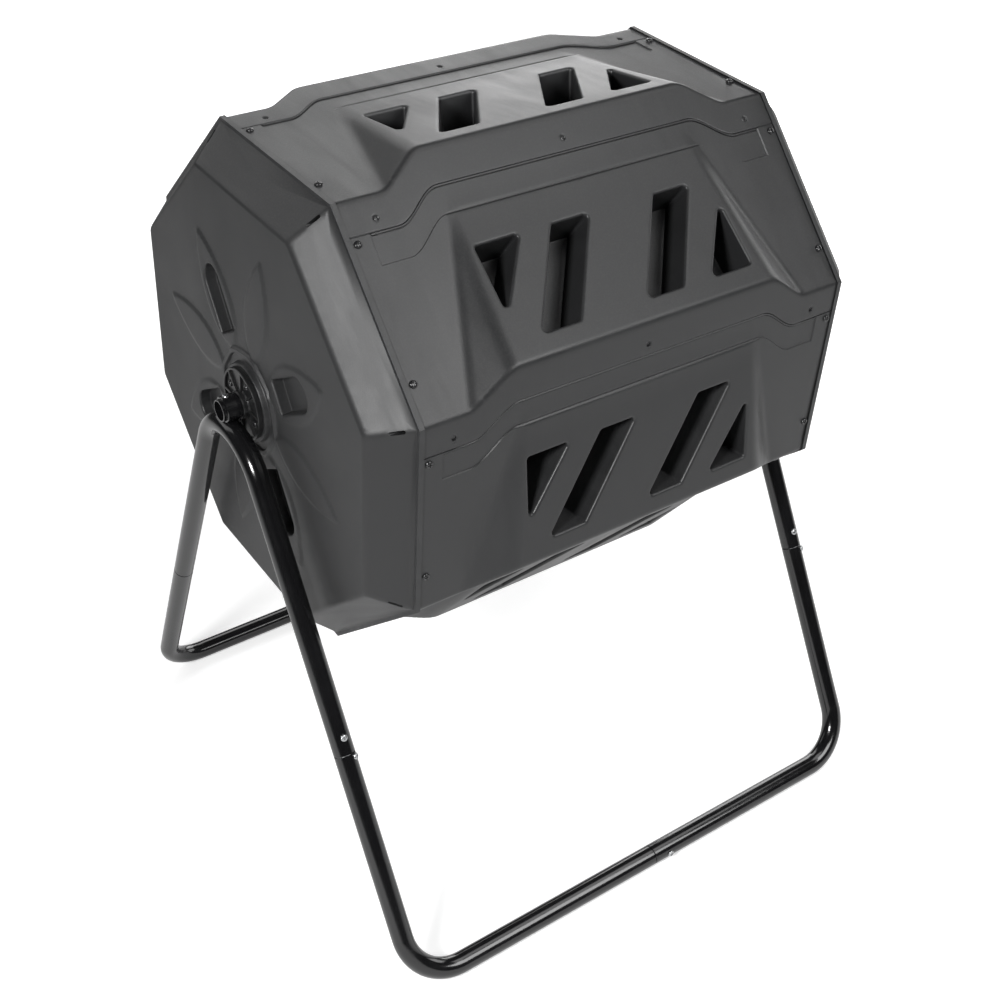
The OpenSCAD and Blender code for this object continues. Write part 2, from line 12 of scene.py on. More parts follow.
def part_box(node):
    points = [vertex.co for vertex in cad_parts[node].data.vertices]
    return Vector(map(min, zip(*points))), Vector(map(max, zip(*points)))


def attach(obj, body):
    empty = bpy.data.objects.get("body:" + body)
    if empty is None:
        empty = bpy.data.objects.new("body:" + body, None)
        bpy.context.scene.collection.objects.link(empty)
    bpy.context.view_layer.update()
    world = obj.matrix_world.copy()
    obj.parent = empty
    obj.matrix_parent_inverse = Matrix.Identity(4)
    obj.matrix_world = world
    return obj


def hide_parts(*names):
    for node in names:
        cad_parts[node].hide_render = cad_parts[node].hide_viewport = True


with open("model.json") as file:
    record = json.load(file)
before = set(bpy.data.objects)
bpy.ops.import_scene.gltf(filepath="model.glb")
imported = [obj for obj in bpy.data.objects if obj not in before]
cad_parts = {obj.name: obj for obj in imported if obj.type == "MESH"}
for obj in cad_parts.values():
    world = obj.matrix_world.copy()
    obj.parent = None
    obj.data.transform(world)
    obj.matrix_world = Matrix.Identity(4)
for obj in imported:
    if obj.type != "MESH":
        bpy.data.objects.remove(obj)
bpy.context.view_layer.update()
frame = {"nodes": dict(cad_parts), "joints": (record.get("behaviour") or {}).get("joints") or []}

bl_info = {
    "name": "Compost Tumbler",
    "version": (1, 0, 0),
    "blender": (4, 5, 0),
    "location": "3D View > Sidebar > Tumbler",
    "description": "Makes the moulded drum, its doors and the tube stand of a compost tumbler",
    "category": "Object",
}

PANELS = ("top", "upper_front", "front", "lower_front", "bottom", "lower_rear", "rear")
DOOR_FACE = 7
SIDES = 8
STEP = math.tau / SIDES
SIDE_NAMES = {-1: "left", 1: "right"}
END_NAMES = {-1: "front", 1: "rear"}

axle_z = [j for j in frame["joints"] if j["name"] == "drum_spin"][0]["pos_m"][2]
panel_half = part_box("panel_top")[1].x
TUBE_R = 0.0127
leg_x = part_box("apex_tube_right")[1].x - TUBE_R


def length(name, description, default):
    """A size in metres."""
    return FloatProperty(name=name, description=description, default=default,
                         unit="LENGTH", subtype="DISTANCE", precision=4)


def colour(name, description, default):
    return FloatVectorProperty(name=name, description=description, default=default,
                               size=3, min=0, max=1, subtype="COLOR")


def factor(name, description, default):
    return FloatProperty(name=name, description=description, default=default,
                         min=0, max=1, subtype="FACTOR")


def angle(name, description, degrees):
    return FloatProperty(name=name, description=description, default=math.radians(degrees),
                         subtype="ANGLE")


def watts(name, description, default):
    return FloatProperty(name=name, description=description, default=default)


class DrumSizes(bpy.types.PropertyGroup):
    """Sizes of the moulded drum."""
    apothem: length("Apothem", "From the axle's centre line to a flat face", 0.280)
    roll: angle("Roll", "Turn of the drum at rest", 5)
    wall: length("Wall", "Thickness of the moulded plastic", 0.003)
    crest: length("Crest", "Height of a wedge above its face", 0.025)
    foot_lap: length("Foot", "From the upper seam to the foot of a wedge", 0.038)
    foot_half: length("Foot half width", "Half width of a wedge at its foot", 0.160)
    crest_half: length("Crest half width", "Half width of a wedge at its crest", 0.174)
    wedge_margin: length("Wedge margin", "From a panel's end to where a wedge runs out", 0.058)
    lap_end: length("Lap at the ends", "Overlap of a flange at the panel's ends", 0.0355)
    lap_mid: length("Lap at the middle", "Overlap of a flange at its middle", 0.0055)
    rebate_end: length("Rebate", "Depth of the rebate at the panel's ends", 0.070)
    pocket_depth: length("Pocket depth", "Depth of the pockets in a wedge", 0.045)
    ridge: length("Ridge rounding", "Softness of a wedge's ridges", 0.0060)
    seam: length("Seam rounding", "Softness of the folds between faces", 0.0030)
    cap_depth: length("Cap depth", "Reach of an end cap's bevelled rim", 0.042)
    cap_inset: length("Cap inset", "How far that bevel steps in", 0.036)
    relief: length("Cap relief", "Height of the stiffening petals on a cap", 0.0018)
    lobes: length("Ring lobes", "How far the ring round a hub swells between petals", 0.0011)
    end_gap: length("End gap", "Groove between a cap and the panels", 0.0009)
    edge: length("Edge rounding", "Rounding of the edges along that groove", 0.0013)


class StandSizes(bpy.types.PropertyGroup):
    """Sizes of the tube stand."""
    tube: length("Tube", "Radius of the stand's tubes", TUBE_R)
    wall: length("Tube wall", "Wall of every tube", 0.0015)
    meet: length("Meeting height", "Where the legs' centre lines would meet", 0.677)
    bar: length("Bar distance", "From the middle to a floor bar", 0.348)
    lean: length("Lean", "How far a leg leans in towards the floor", 0.0055)
    bend: length("Corner bend", "Bend radius at the floor corners", 0.062)
    leg_joint: length("Leg joint", "From the meeting point to the joint in a leg", 0.456)
    bar_joint: length("Bar joint", "Place of the joint in a floor bar", 0.005)


class Finishes(bpy.types.PropertyGroup):
    """Colours and gloss."""
    plastic: colour("Plastic", "Charcoal of the moulded panels", (0.0175, 0.0178, 0.0186))
    plastic_light: colour("Plastic, light", "Lighter clouds in the charcoal", (0.0230, 0.0234, 0.0243))
    paint: colour("Paint", "Black of the powder coat", (0.0045, 0.0045, 0.005))
    zinc: colour("Zinc", "Plate on the bright screws", (0.62, 0.63, 0.64))
    gloss: factor("Satin", "Roughness of the plastic", 0.40)
    paint_rough: factor("Paint roughness", "Roughness of the powder coat", 0.16)


class StageSettings(bpy.types.PropertyGroup):
    """Camera and light."""
    azimuth: angle("Azimuth", "Camera angle round the object", -34.198)
    elevation: angle("Elevation", "Camera angle above the floor", 32.597)
    roll: angle("Roll", "Camera roll", -0.4405)
    lens: FloatProperty(name="Lens", description="Focal length in millimetres", default=52.904)
    front: watts("Front light", "Watts of the large front light", 44.0)
    side: watts("Side light", "Watts of the small light by the end cap", 46.0)
    right: watts("Right light", "Watts of the low light on the right", 18.0)
    back: watts("Back light", "Watts of the low light behind", 24.0)
    high: watts("High light", "Watts of the high light behind", 15.0)
    over: watts("Overhead light", "Watts of the light overhead", 14.0)
    rear: watts("Rear light", "Watts of the large light behind", 16.0)
    sky: factor("Sky", "Strength of the surroundings as light", 0.03)
    glow: factor("Floor glow", "How much brighter the floor looks than it is lit", 0.42)


# ---- Small mathematics ----

def smooth_min(a, b, k):
    h = np.maximum(k - np.abs(a - b), 0) / k
    return np.minimum(a, b) - h * h * k / 4


def smooth_max(a, b, k):
    return -smooth_min(-a, -b, k)


def ease(t):
    t = np.clip(t, 0, 1)
    return t * t * (3 - 2 * t)


def inside(points, polygon):
    """Which points lie in a polygon."""
    x, y = points[:, 0], points[:, 1]
    hit = np.zeros(len(points), bool)
    ring = np.asarray(polygon, float)
    for (x0, y0), (x1, y1) in zip(ring, np.roll(ring, -1, axis=0)):
        if y0 == y1:
            continue
        crosses = (y0 > y) != (y1 > y)
        hit ^= crosses & (x < x0 + (y - y0) * (x1 - x0) / (y1 - y0))
    return hit


def distance(points, line, closed):
    """Distance of each point from a polyline."""
    ring = np.asarray(line, float)
    ends = np.roll(ring, -1, axis=0) if closed else ring[1:]
    starts = ring if closed else ring[:-1]
    best = np.full(len(points), 9.0)
    for a, b in zip(starts, ends):
        d = b - a
        t = np.clip(((points - a) @ d) / max(d @ d, 1e-12), 0, 1)
        best = np.minimum(best, np.linalg.norm(points - a - t[:, None] * d, axis=1))
    return best


def rounded(corners, grow, radius, steps=5):
    """An anticlockwise convex outline with round corners, moved out by grow."""
    r = max(radius + grow, 0.0004)
    ring = [Vector(c) for c in corners]
    n = len(ring)
    out = []
    for i, p in enumerate(ring):
        u = (p - ring[i - 1]).normalized()
        v = (ring[(i + 1) % n] - p).normalized()
        a, b = Vector((u.y, -u.x)), Vector((v.y, -v.x))
        centre = p - (r - grow) * (a + b) / (1 + a.dot(b))
        start = math.atan2(a.y, a.x)
        turn = (math.atan2(b.y, b.x) - start) % math.tau
        for s in range(steps + 1):
            angle = start + turn * s / steps
            out.append((centre.x + r * math.cos(angle), centre.y + r * math.sin(angle)))
    return out


def circle(x, y, radius, squash=1.0, steps=20):
    return [(x + radius * math.cos(math.tau * i / steps),
             y + radius * squash * math.sin(math.tau * i / steps)) for i in range(steps)]


# ---- Sheets: a moulded surface over a flat outline ----

class Sheet:
    """Collects outlines and lines, then triangulates them with more points where it curves."""

    def __init__(self, outline, height):
        self.outline = outline
        self.height = height
        self.points = []
        self.edges = []
        self.lines = []
        self.holes = []
        self.zones = []
        self.keep_off = []

    def line(self, points, drop=0.0, sink=0.0, closed=False):
        start = len(self.points)
        drops = drop if hasattr(drop, "__len__") else [drop] * len(points)
        self.points += [(x, y, d, sink) for (x, y), d in zip(points, drops)]
        last = len(points)
        self.edges += [(start + i, start + i + 1) for i in range(last - 1)]
        if closed:
            self.edges.append((start + last - 1, start))
        self.lines.append((points, closed))

    def level(self, polygon, drop=0.0, sink=0.0):
        """Everything in the polygon that isn't on a line lies at this level; later ones win."""
        self.zones.append((polygon, drop, sink))

    def hole(self, polygon):
        self.holes.append(polygon)

    def fill(self, coarse, fine, bend):
        """Grid points: coarse ones everywhere, fine ones where the surface bends."""
        ring = np.asarray(self.outline)
        low, high = ring.min(0), ring.max(0)
        grids = []
        for pitch in (coarse, fine):
            xs = np.arange(low[0] + pitch / 2, high[0], pitch)
            ys = np.arange(low[1] + pitch / 2, high[1], pitch)
            grids.append(np.stack(np.meshgrid(xs, ys), -1).reshape(-1, 2))
        h = self.height

        def bends(x, y):
            return (np.abs(h(x + fine, y) + h(x - fine, y) - 2 * h(x, y))
                    + np.abs(h(x, y + fine) + h(x, y - fine) - 2 * h(x, y))) > bend * fine

        spare, dense = grids[0], grids[1][bends(*grids[1].T)]
        if len(dense):
            spare = spare[~bends(*spare.T)]
        cloud = np.concatenate([spare, dense])
        cloud = cloud[inside(cloud, self.outline)]
        clear = distance(cloud, self.outline, True) > fine * 0.45
        for points, closed in self.lines:
            clear &= distance(cloud, points, closed) > fine * 0.45
        for outer, inner in self.keep_off:
            clear &= ~(inside(cloud, outer) & ~inside(cloud, inner))
        cloud = cloud[clear]
        drops, sinks = np.zeros(len(cloud)), np.zeros(len(cloud))
        for polygon, drop, sink in self.zones:
            hit = inside(cloud, polygon)
            drops[hit], sinks[hit] = drop, sink
        self.points += list(zip(cloud[:, 0], cloud[:, 1], drops, sinks))

    def mesh(self, place):
        """Triangles in 3D; place turns x, y, height, drop and sink into a point."""
        flat = [Vector(p[:2]) for p in self.points]
        verts, _, faces, origin, _, _ = delaunay_2d_cdt(flat, self.edges, [], 0, 1e-6)
        xy = np.array([(v.x, v.y) for v in verts])
        drop, sink = np.zeros(len(xy)), np.zeros(len(xy))
        for i, parents in enumerate(origin):
            if parents:
                drop[i] = max(self.points[p][2] for p in parents)
                sink[i] = max(self.points[p][3] for p in parents)
        faces = np.array(faces)
        middle = xy[faces].mean(1)
        keep = inside(middle, self.outline)
        for polygon in self.holes:
            keep &= ~inside(middle, polygon)
        z = self.height(xy[:, 0], xy[:, 1])
        return place(xy[:, 0], xy[:, 1], z, drop, sink), faces[keep]


# ---- Meshes and objects ----

def linked(name, data):
    """A new object in the scene."""
    obj = bpy.data.objects.new(name, data)
    bpy.context.scene.collection.objects.link(obj)
    return obj


def baked(bm, name):
    """A new mesh from a bmesh, which is freed."""
    mesh = bpy.data.meshes.new(name)
    bm.to_mesh(mesh)
    bm.free()
    return mesh


def new_mesh(name, verts, faces):
    mesh = bpy.data.meshes.new(name)
    mesh.from_pydata([tuple(v) for v in verts], [], [tuple(int(i) for i in f) for f in faces])
    mesh.validate()
    return mesh


def tidy(mesh):
    """Merges doubles, drops loose points and turns the faces outwards."""
    bm = bmesh.new()
    bm.from_mesh(mesh)
    bmesh.ops.remove_doubles(bm, verts=bm.verts, dist=0.00002)
    loose = [v for v in bm.verts if not v.link_faces]
    bmesh.ops.delete(bm, geom=loose, context="VERTS")
    bmesh.ops.recalc_face_normals(bm, faces=bm.faces)
    bm.to_mesh(mesh)
    bm.free()


def piece(name, mesh, material, body, slot, *nodes, sharp=35):
    """A finished object that rides on a body and stands for CAD nodes."""
    obj = linked(name, mesh)
    if material.name not in mesh.materials:
        mesh.materials.clear()
        mesh.materials.append(material)
    mesh.shade_smooth()
    mesh.set_sharp_from_angle(angle=math.radians(sharp))
    flat = obj.modifiers.new("Weighted normals", "WEIGHTED_NORMAL")
    flat.keep_sharp = True
    graph = bpy.context.evaluated_depsgraph_get()
    obj.data = bpy.data.meshes.new_from_object(obj.evaluated_get(graph))
    obj.modifiers.remove(flat)
    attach(obj, body)
    if nodes:
        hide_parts(*nodes)
    return obj


def join(name, meshes):
    """Several meshes as one."""
    bm = bmesh.new()
    for m in meshes:
        bm.from_mesh(m)
    return baked(bm, name)


SLIVER = 0.00003


def fuse(meshes):
    """Several closed meshes made one, with nothing left inside."""
    objects = [linked("part", m) for m in meshes]
    for other in objects[1:]:
        cut = objects[0].modifiers.new("Fuse", "BOOLEAN")
        cut.object, cut.operation, cut.solver = other, "UNION", "EXACT"
    done = settle(objects[0])
    for other in objects[1:]:
        bpy.data.objects.remove(other)
    bm = bmesh.new()
    bm.from_mesh(done)
    bmesh.ops.remove_doubles(bm, verts=bm.verts, dist=SLIVER)
    bmesh.ops.dissolve_degenerate(bm, dist=SLIVER, edges=bm.edges)
    bmesh.ops.triangulate(bm, faces=bm.faces)
    bm.to_mesh(done)
    bm.free()
    return done


def thicken(mesh, wall):
    """A closed wall behind a sheet whose faces point outwards."""
    obj = linked(mesh.name, mesh)
    shell = obj.modifiers.new("Wall", "SOLIDIFY")
    shell.thickness, shell.offset = wall, -1
    return settle(obj)


def on_side(mesh, side):
    """A copy of a mesh made for the right end, mirrored if it is for the left."""
    mesh = mesh.copy()
    if side < 0:
        mesh.transform(Matrix.Scale(-1, 4, (1, 0, 0)))
        mesh.flip_normals()
    return mesh


def settle(obj):
    """The object's evaluated mesh; the object itself is removed."""
    graph = bpy.context.evaluated_depsgraph_get()
    mesh = bpy.data.meshes.new_from_object(obj.evaluated_get(graph))
    bpy.data.objects.remove(obj)
    return mesh


def bevelled_box(low, high, round_by, segments=2):
    bm = bmesh.new()
    bmesh.ops.create_cube(bm, size=1)
    low, high = Vector(low), Vector(high)
    for v in bm.verts:
        v.co = Vector(low[i] + (high[i] - low[i]) * (v.co[i] + 0.5) for i in range(3))
    bmesh.ops.bevel(bm, geom=bm.edges[:], offset=round_by, segments=segments,
                    profile=0.5, affect="EDGES")
    return baked(bm, "box")


def lathe(profile, segments=64):
    """A closed profile of (x, radius) points turned about the X axis."""
    verts, faces = [], []
    n = len(profile)
    for s in range(segments):
        angle = math.tau * s / segments
        verts += [(x, r * math.cos(angle), r * math.sin(angle)) for x, r in profile]
    for s in range(segments):
        a, b = s * n, ((s + 1) % segments) * n
        faces += [(a + i, a + (i + 1) % n, b + (i + 1) % n, b + i) for i in range(n)]
    mesh = new_mesh("turned", verts, faces)
    tidy(mesh)
    return mesh


# ---- Materials ----

def group_tree(name, inputs, outputs):
    tree = bpy.data.node_groups.new(name, "ShaderNodeTree")
    for label, kind, default in inputs:
        socket = tree.interface.new_socket(label, in_out="INPUT", socket_type=kind)
        if default is not None:
            socket.default_value = default
    for label, kind in outputs:
        tree.interface.new_socket(label, in_out="OUTPUT", socket_type=kind)
    return tree, tree.nodes.new("NodeGroupInput"), tree.nodes.new("NodeGroupOutput")


def noise(tree, scale, detail, rough=0.5):
    node = tree.nodes.new("ShaderNodeTexNoise")
    node.inputs["Scale"].default_value = scale
    node.inputs["Detail"].default_value = detail
    node.inputs["Roughness"].default_value = rough
    return node


def math_node(tree, operation, a, b=None):
    node = tree.nodes.new("ShaderNodeMath")
    node.operation = operation
    for socket, value in zip(node.inputs, (a, b)):
        if value is None:
            continue
        if hasattr(value, "is_output"):
            tree.links.new(value, socket)
        else:
            socket.default_value = value
    return node.outputs[0]


def ramp(tree, value, low, high, out_low=0.0, out_high=1.0):
    node = tree.nodes.new("ShaderNodeMapRange")
    tree.links.new(value, node.inputs["Value"])
    limits = {"From Min": low, "From Max": high, "To Min": out_low, "To Max": out_high}
    for label, number in limits.items():
        node.inputs[label].default_value = number
    return node.outputs["Result"]


def grain_group():
    """Fine moulded or sprayed grain, as a height."""
    tree, inp, out = group_tree(
        "Fine grain", [("Vector", "NodeSocketVector", None), ("Scale", "NodeSocketFloat", 1400.0),
                       ("Pits", "NodeSocketFloat", 0.3)], [("Height", "NodeSocketFloat")])
    fine = noise(tree, 1400, 3)
    pits = tree.nodes.new("ShaderNodeTexVoronoi")
    for node in (fine, pits):
        tree.links.new(inp.outputs["Vector"], node.inputs["Vector"])
        tree.links.new(inp.outputs["Scale"], node.inputs["Scale"])
    weighted = math_node(tree, "MULTIPLY", pits.outputs["Distance"], inp.outputs["Pits"])
    total = math_node(tree, "ADD", fine.outputs["Fac"], weighted)
    tree.links.new(total, out.inputs["Height"])
    return tree


def flow_group():
    """Soft clouds and stretched streaks left by the melt, from 0 to 1."""
    tree, inp, out = group_tree(
        "Mould flow", [("Vector", "NodeSocketVector", None), ("Clouds", "NodeSocketFloat", 5.0),
                       ("Streaks", "NodeSocketFloat", 14.0)], [("Value", "NodeSocketFloat")])
    clouds = noise(tree, 5, 3)
    stretch = tree.nodes.new("ShaderNodeMapping")
    stretch.inputs["Scale"].default_value = (3.0, 0.5, 0.5)
    streaks = noise(tree, 14, 4, 0.6)
    streaks.inputs["Distortion"].default_value = 0.8
    tree.links.new(inp.outputs["Vector"], clouds.inputs["Vector"])
    tree.links.new(inp.outputs["Clouds"], clouds.inputs["Scale"])
    tree.links.new(inp.outputs["Vector"], stretch.inputs["Vector"])
    tree.links.new(stretch.outputs["Vector"], streaks.inputs["Vector"])
    tree.links.new(inp.outputs["Streaks"], streaks.inputs["Scale"])
    half = math_node(tree, "MULTIPLY", streaks.outputs["Fac"], 0.45)
    total = math_node(tree, "MULTIPLY_ADD", clouds.outputs["Fac"], 0.55)
    tree.links.new(half, total.node.inputs[2])
    tree.links.new(ramp(tree, total, 0.38, 0.62), out.inputs["Value"])
    return tree


def wear_and_sheen_group():
    """Convex edges, from 0 to 1: rubbed wear, and on the moulded plastic also a painted highlight along the
    ridges.
    """
    tree, inp, out = group_tree(
        "Edge wear", [("Vector", "NodeSocketVector", None), ("Start", "NodeSocketFloat", 0.53),
                      ("End", "NodeSocketFloat", 0.62)], [("Mask", "NodeSocketFloat")])
    shape = tree.nodes.new("ShaderNodeNewGeometry")
    edge = tree.nodes.new("ShaderNodeMapRange")
    tree.links.new(shape.outputs["Pointiness"], edge.inputs["Value"])
    tree.links.new(inp.outputs["Start"], edge.inputs["From Min"])
    tree.links.new(inp.outputs["End"], edge.inputs["From Max"])
    patches = noise(tree, 60, 4)
    tree.links.new(inp.outputs["Vector"], patches.inputs["Vector"])
    broken = ramp(tree, patches.outputs["Fac"], 0.35, 0.6, 0.35, 1.0)
    tree.links.new(math_node(tree, "MULTIPLY", edge.outputs["Result"], broken), out.inputs["Mask"])
    return tree


def dust_group():
    """Light dust on what faces up, from 0 to 1."""
    tree, inp, out = group_tree("Dust", [("Vector", "NodeSocketVector", None),
                                         ("Amount", "NodeSocketFloat", 0.2)], [("Mask", "NodeSocketFloat")])
    shape = tree.nodes.new("ShaderNodeNewGeometry")
    split = tree.nodes.new("ShaderNodeSeparateXYZ")
    tree.links.new(shape.outputs["Normal"], split.inputs["Vector"])
    up = ramp(tree, split.outputs["Z"], 0.2, 1.0)
    specks = noise(tree, 520, 3, 0.6)
    tree.links.new(inp.outputs["Vector"], specks.inputs["Vector"])
    speck = ramp(tree, specks.outputs["Fac"], 0.45, 0.75)
    both = math_node(tree, "MULTIPLY", up, speck)
    tree.links.new(math_node(tree, "MULTIPLY", both, inp.outputs["Amount"]), out.inputs["Mask"])
    return tree


GROUPS = {}


def placed(tree, name, vector, **values):
    """One of the shared groups, placed in a material."""
    makers = {"grain": grain_group, "flow": flow_group, "wear_and_sheen": wear_and_sheen_group, "dust": dust_group}
    if name not in GROUPS:
        GROUPS[name] = makers[name]()
    node = tree.nodes.new("ShaderNodeGroup")
    node.node_tree = GROUPS[name]
    tree.links.new(vector, node.inputs["Vector"])
    for label, value in values.items():
        node.inputs[label].default_value = value
    return node.outputs[0]


def mix_colour(tree, mask, low, high):
    node = tree.nodes.new("ShaderNodeMix")
    node.data_type = "RGBA"
    tree.links.new(mask, node.inputs[0])
    for socket, value in ((node.inputs[6], low), (node.inputs[7], high)):
        if hasattr(value, "is_output"):
            tree.links.new(value, socket)
        else:
            socket.default_value = (*value, 1)
    return node.outputs[2]


def start_material(name):
    material = bpy.data.materials.new(name)
    material.use_nodes = True
    tree = material.node_tree
    shader = tree.nodes["Principled BSDF"]
    vector = tree.nodes.new("ShaderNodeTexCoord").outputs["Object"]
    return material, tree, shader, vector


def bump(tree, shader, height, strength, distance_m):
    node = tree.nodes.new("ShaderNodeBump")
    node.inputs["Strength"].default_value = strength
    node.inputs["Distance"].default_value = distance_m
    tree.links.new(height, node.inputs["Height"])
    tree.links.new(node.outputs["Normal"], shader.inputs["Normal"])


def moulded(name, dark, light, rough, dust=0.05):
    """Satin moulded plastic."""
    material, tree, shader, vector = start_material(name)
    flow = placed(tree, "flow", vector)
    wear_and_sheen = placed(tree, "wear_and_sheen", vector)
    specks = placed(tree, "dust", vector, Amount=dust)
    base = mix_colour(tree, flow, dark, light)
    # Lighter convex edges: partly rubbed wear, partly a painted highlight along the ridges.
    worn_and_highlit = tuple(min(1, c * 1.9) for c in light)
    base = mix_colour(tree, math_node(tree, "MULTIPLY", wear_and_sheen, 0.5), base, worn_and_highlit)
    base = mix_colour(tree, specks, base, (0.32, 0.31, 0.29))
    tree.links.new(base, shader.inputs["Base Color"])
    tree.links.new(ramp(tree, flow, 0, 1, rough - 0.05, rough + 0.06), shader.inputs["Roughness"])
    bump(tree, shader, placed(tree, "grain", vector, Scale=1500.0), 0.35, 0.0002)
    return material


def painted(name, base, rough, worn=0.0):
    """Gloss powder coat over steel."""
    material, tree, shader, vector = start_material(name)
    wear_and_sheen = placed(tree, "wear_and_sheen", vector, Start=0.56, End=0.68)
    flow = placed(tree, "flow", vector, Clouds=18.0)
    light = tuple(min(1, c * 1.6) for c in base)
    tone = mix_colour(tree, flow, base, light)
    tone = mix_colour(tree, math_node(tree, "MULTIPLY", wear_and_sheen, worn), tone, (0.2, 0.2, 0.2))
    tree.links.new(tone, shader.inputs["Base Color"])
    tree.links.new(ramp(tree, flow, 0, 1, rough - 0.03, rough + 0.05), shader.inputs["Roughness"])
    shader.inputs["Coat Roughness"].default_value = 0.08
    shader.inputs["Coat Weight"].default_value = 0.5
    bump(tree, shader, placed(tree, "grain", vector, Scale=420.0, Pits=0.1), 0.12, 0.0003)
    return material


def bare_metal(name, base, rough):
    """Plated or drawn metal."""
    material, tree, shader, vector = start_material(name)
    shader.inputs["Metallic"].default_value = 1
    flow = placed(tree, "flow", vector, Clouds=160.0, Streaks=420.0)
    tree.links.new(mix_colour(tree, flow, tuple(c * 0.8 for c in base), base), shader.inputs["Base Color"])
    tree.links.new(ramp(tree, flow, 0, 1, rough - 0.06, rough + 0.1), shader.inputs["Roughness"])
    bump(tree, shader, placed(tree, "grain", vector, Scale=900.0), 0.15, 0.0001)
    return material


MATERIALS = {}


def finish(name):
    """One of this object's finishes, made when it is first asked for."""
    f = bpy.context.scene.tumbler_finishes

    def shade(share, tone):
        return [c * share for c in tone]

    def plastic(title, share, rough, dust=0.05, light_share=None):
        light = shade(light_share or share, f.plastic_light)
        return moulded(title, shade(share, f.plastic), light, f.gloss + rough, dust)

    makers = {
        "panel": lambda: plastic("Panel plastic", 1.0, 0.0),
        "cap": lambda: plastic("Cap plastic", 0.82, 0.04),
        "door": lambda: plastic("Door plastic", 0.9, 0.0),
        "divider": lambda: plastic("Divider plastic", 1.0, 0.1, 0.0),
        "hub": lambda: plastic("Hub plastic", 0.4, -0.08, 0.05, 0.5),
        "paint": lambda: painted("Tube paint", f.paint, f.paint_rough, 0.1),
        "axle": lambda: painted("Axle paint", f.paint, f.paint_rough + 0.06, 0.4),
        "oxide": lambda: painted("Black screw", shade(1.5, f.paint), 0.3, 0.3),
        "zinc": lambda: bare_metal("Bright zinc", f.zinc, 0.26),
        "steel": lambda: bare_metal("Drawn steel", shade(0.8, f.zinc), 0.36),
    }
    if name not in MATERIALS:
        MATERIALS[name] = makers[name]()
    return MATERIALS[name]


# ---- The panels' shape ----

POCKET_LIP = ((0.0046, 0.0), (0.0030, 0.0), (0.0017, 0.0003), (0.0006, 0.0010),
              (0.0, 0.0022), (-0.0003, 0.0040))
SLOT_X = (-0.057, -0.1265, -0.0785, -0.009)
TRIANGLE_X = (-0.153, -0.098)
TRIANGLE_H = 0.0765
SLOT_ROUND, TRIANGLE_ROUND = 0.0042, 0.0036
WAVE_IN, WAVE_OUT = 0.164, 0.220
REBATE_HALF = 0.254
TONGUE_HALF, TONGUE_REACH = 0.150, 0.022
GAP = 0.0009
FLANGE_T = 0.00305
SLANT = math.sqrt(0.5)
DOOR_FOOT = 0.058
DOOR_W = 0.13075
DOOR_START = 0.0045
RAIL_GAP = 0.004
OPENING_MARGIN = 0.008
SEAM_END, SEAM_BELOW, MIDDLE_ABOVE = 0.039, 0.023, 0.008


def rail_bay(drum):
    """The outer faces of the two rails, low and high, on their panel."""
    top = drum.apothem * math.tan(STEP / 2)
    return DOOR_FOOT - top + 0.001, top - drum.lap_end - 0.003


def door_bay(drum):
    """The lower and upper edges of the doors between the rails."""
    low, high = rail_bay(drum)
    return low + RAIL_GAP, high - RAIL_GAP


def door_centre(side):
    """The middle of a shut door, along the axle."""
    return side * (DOOR_START + DOOR_W / 2)


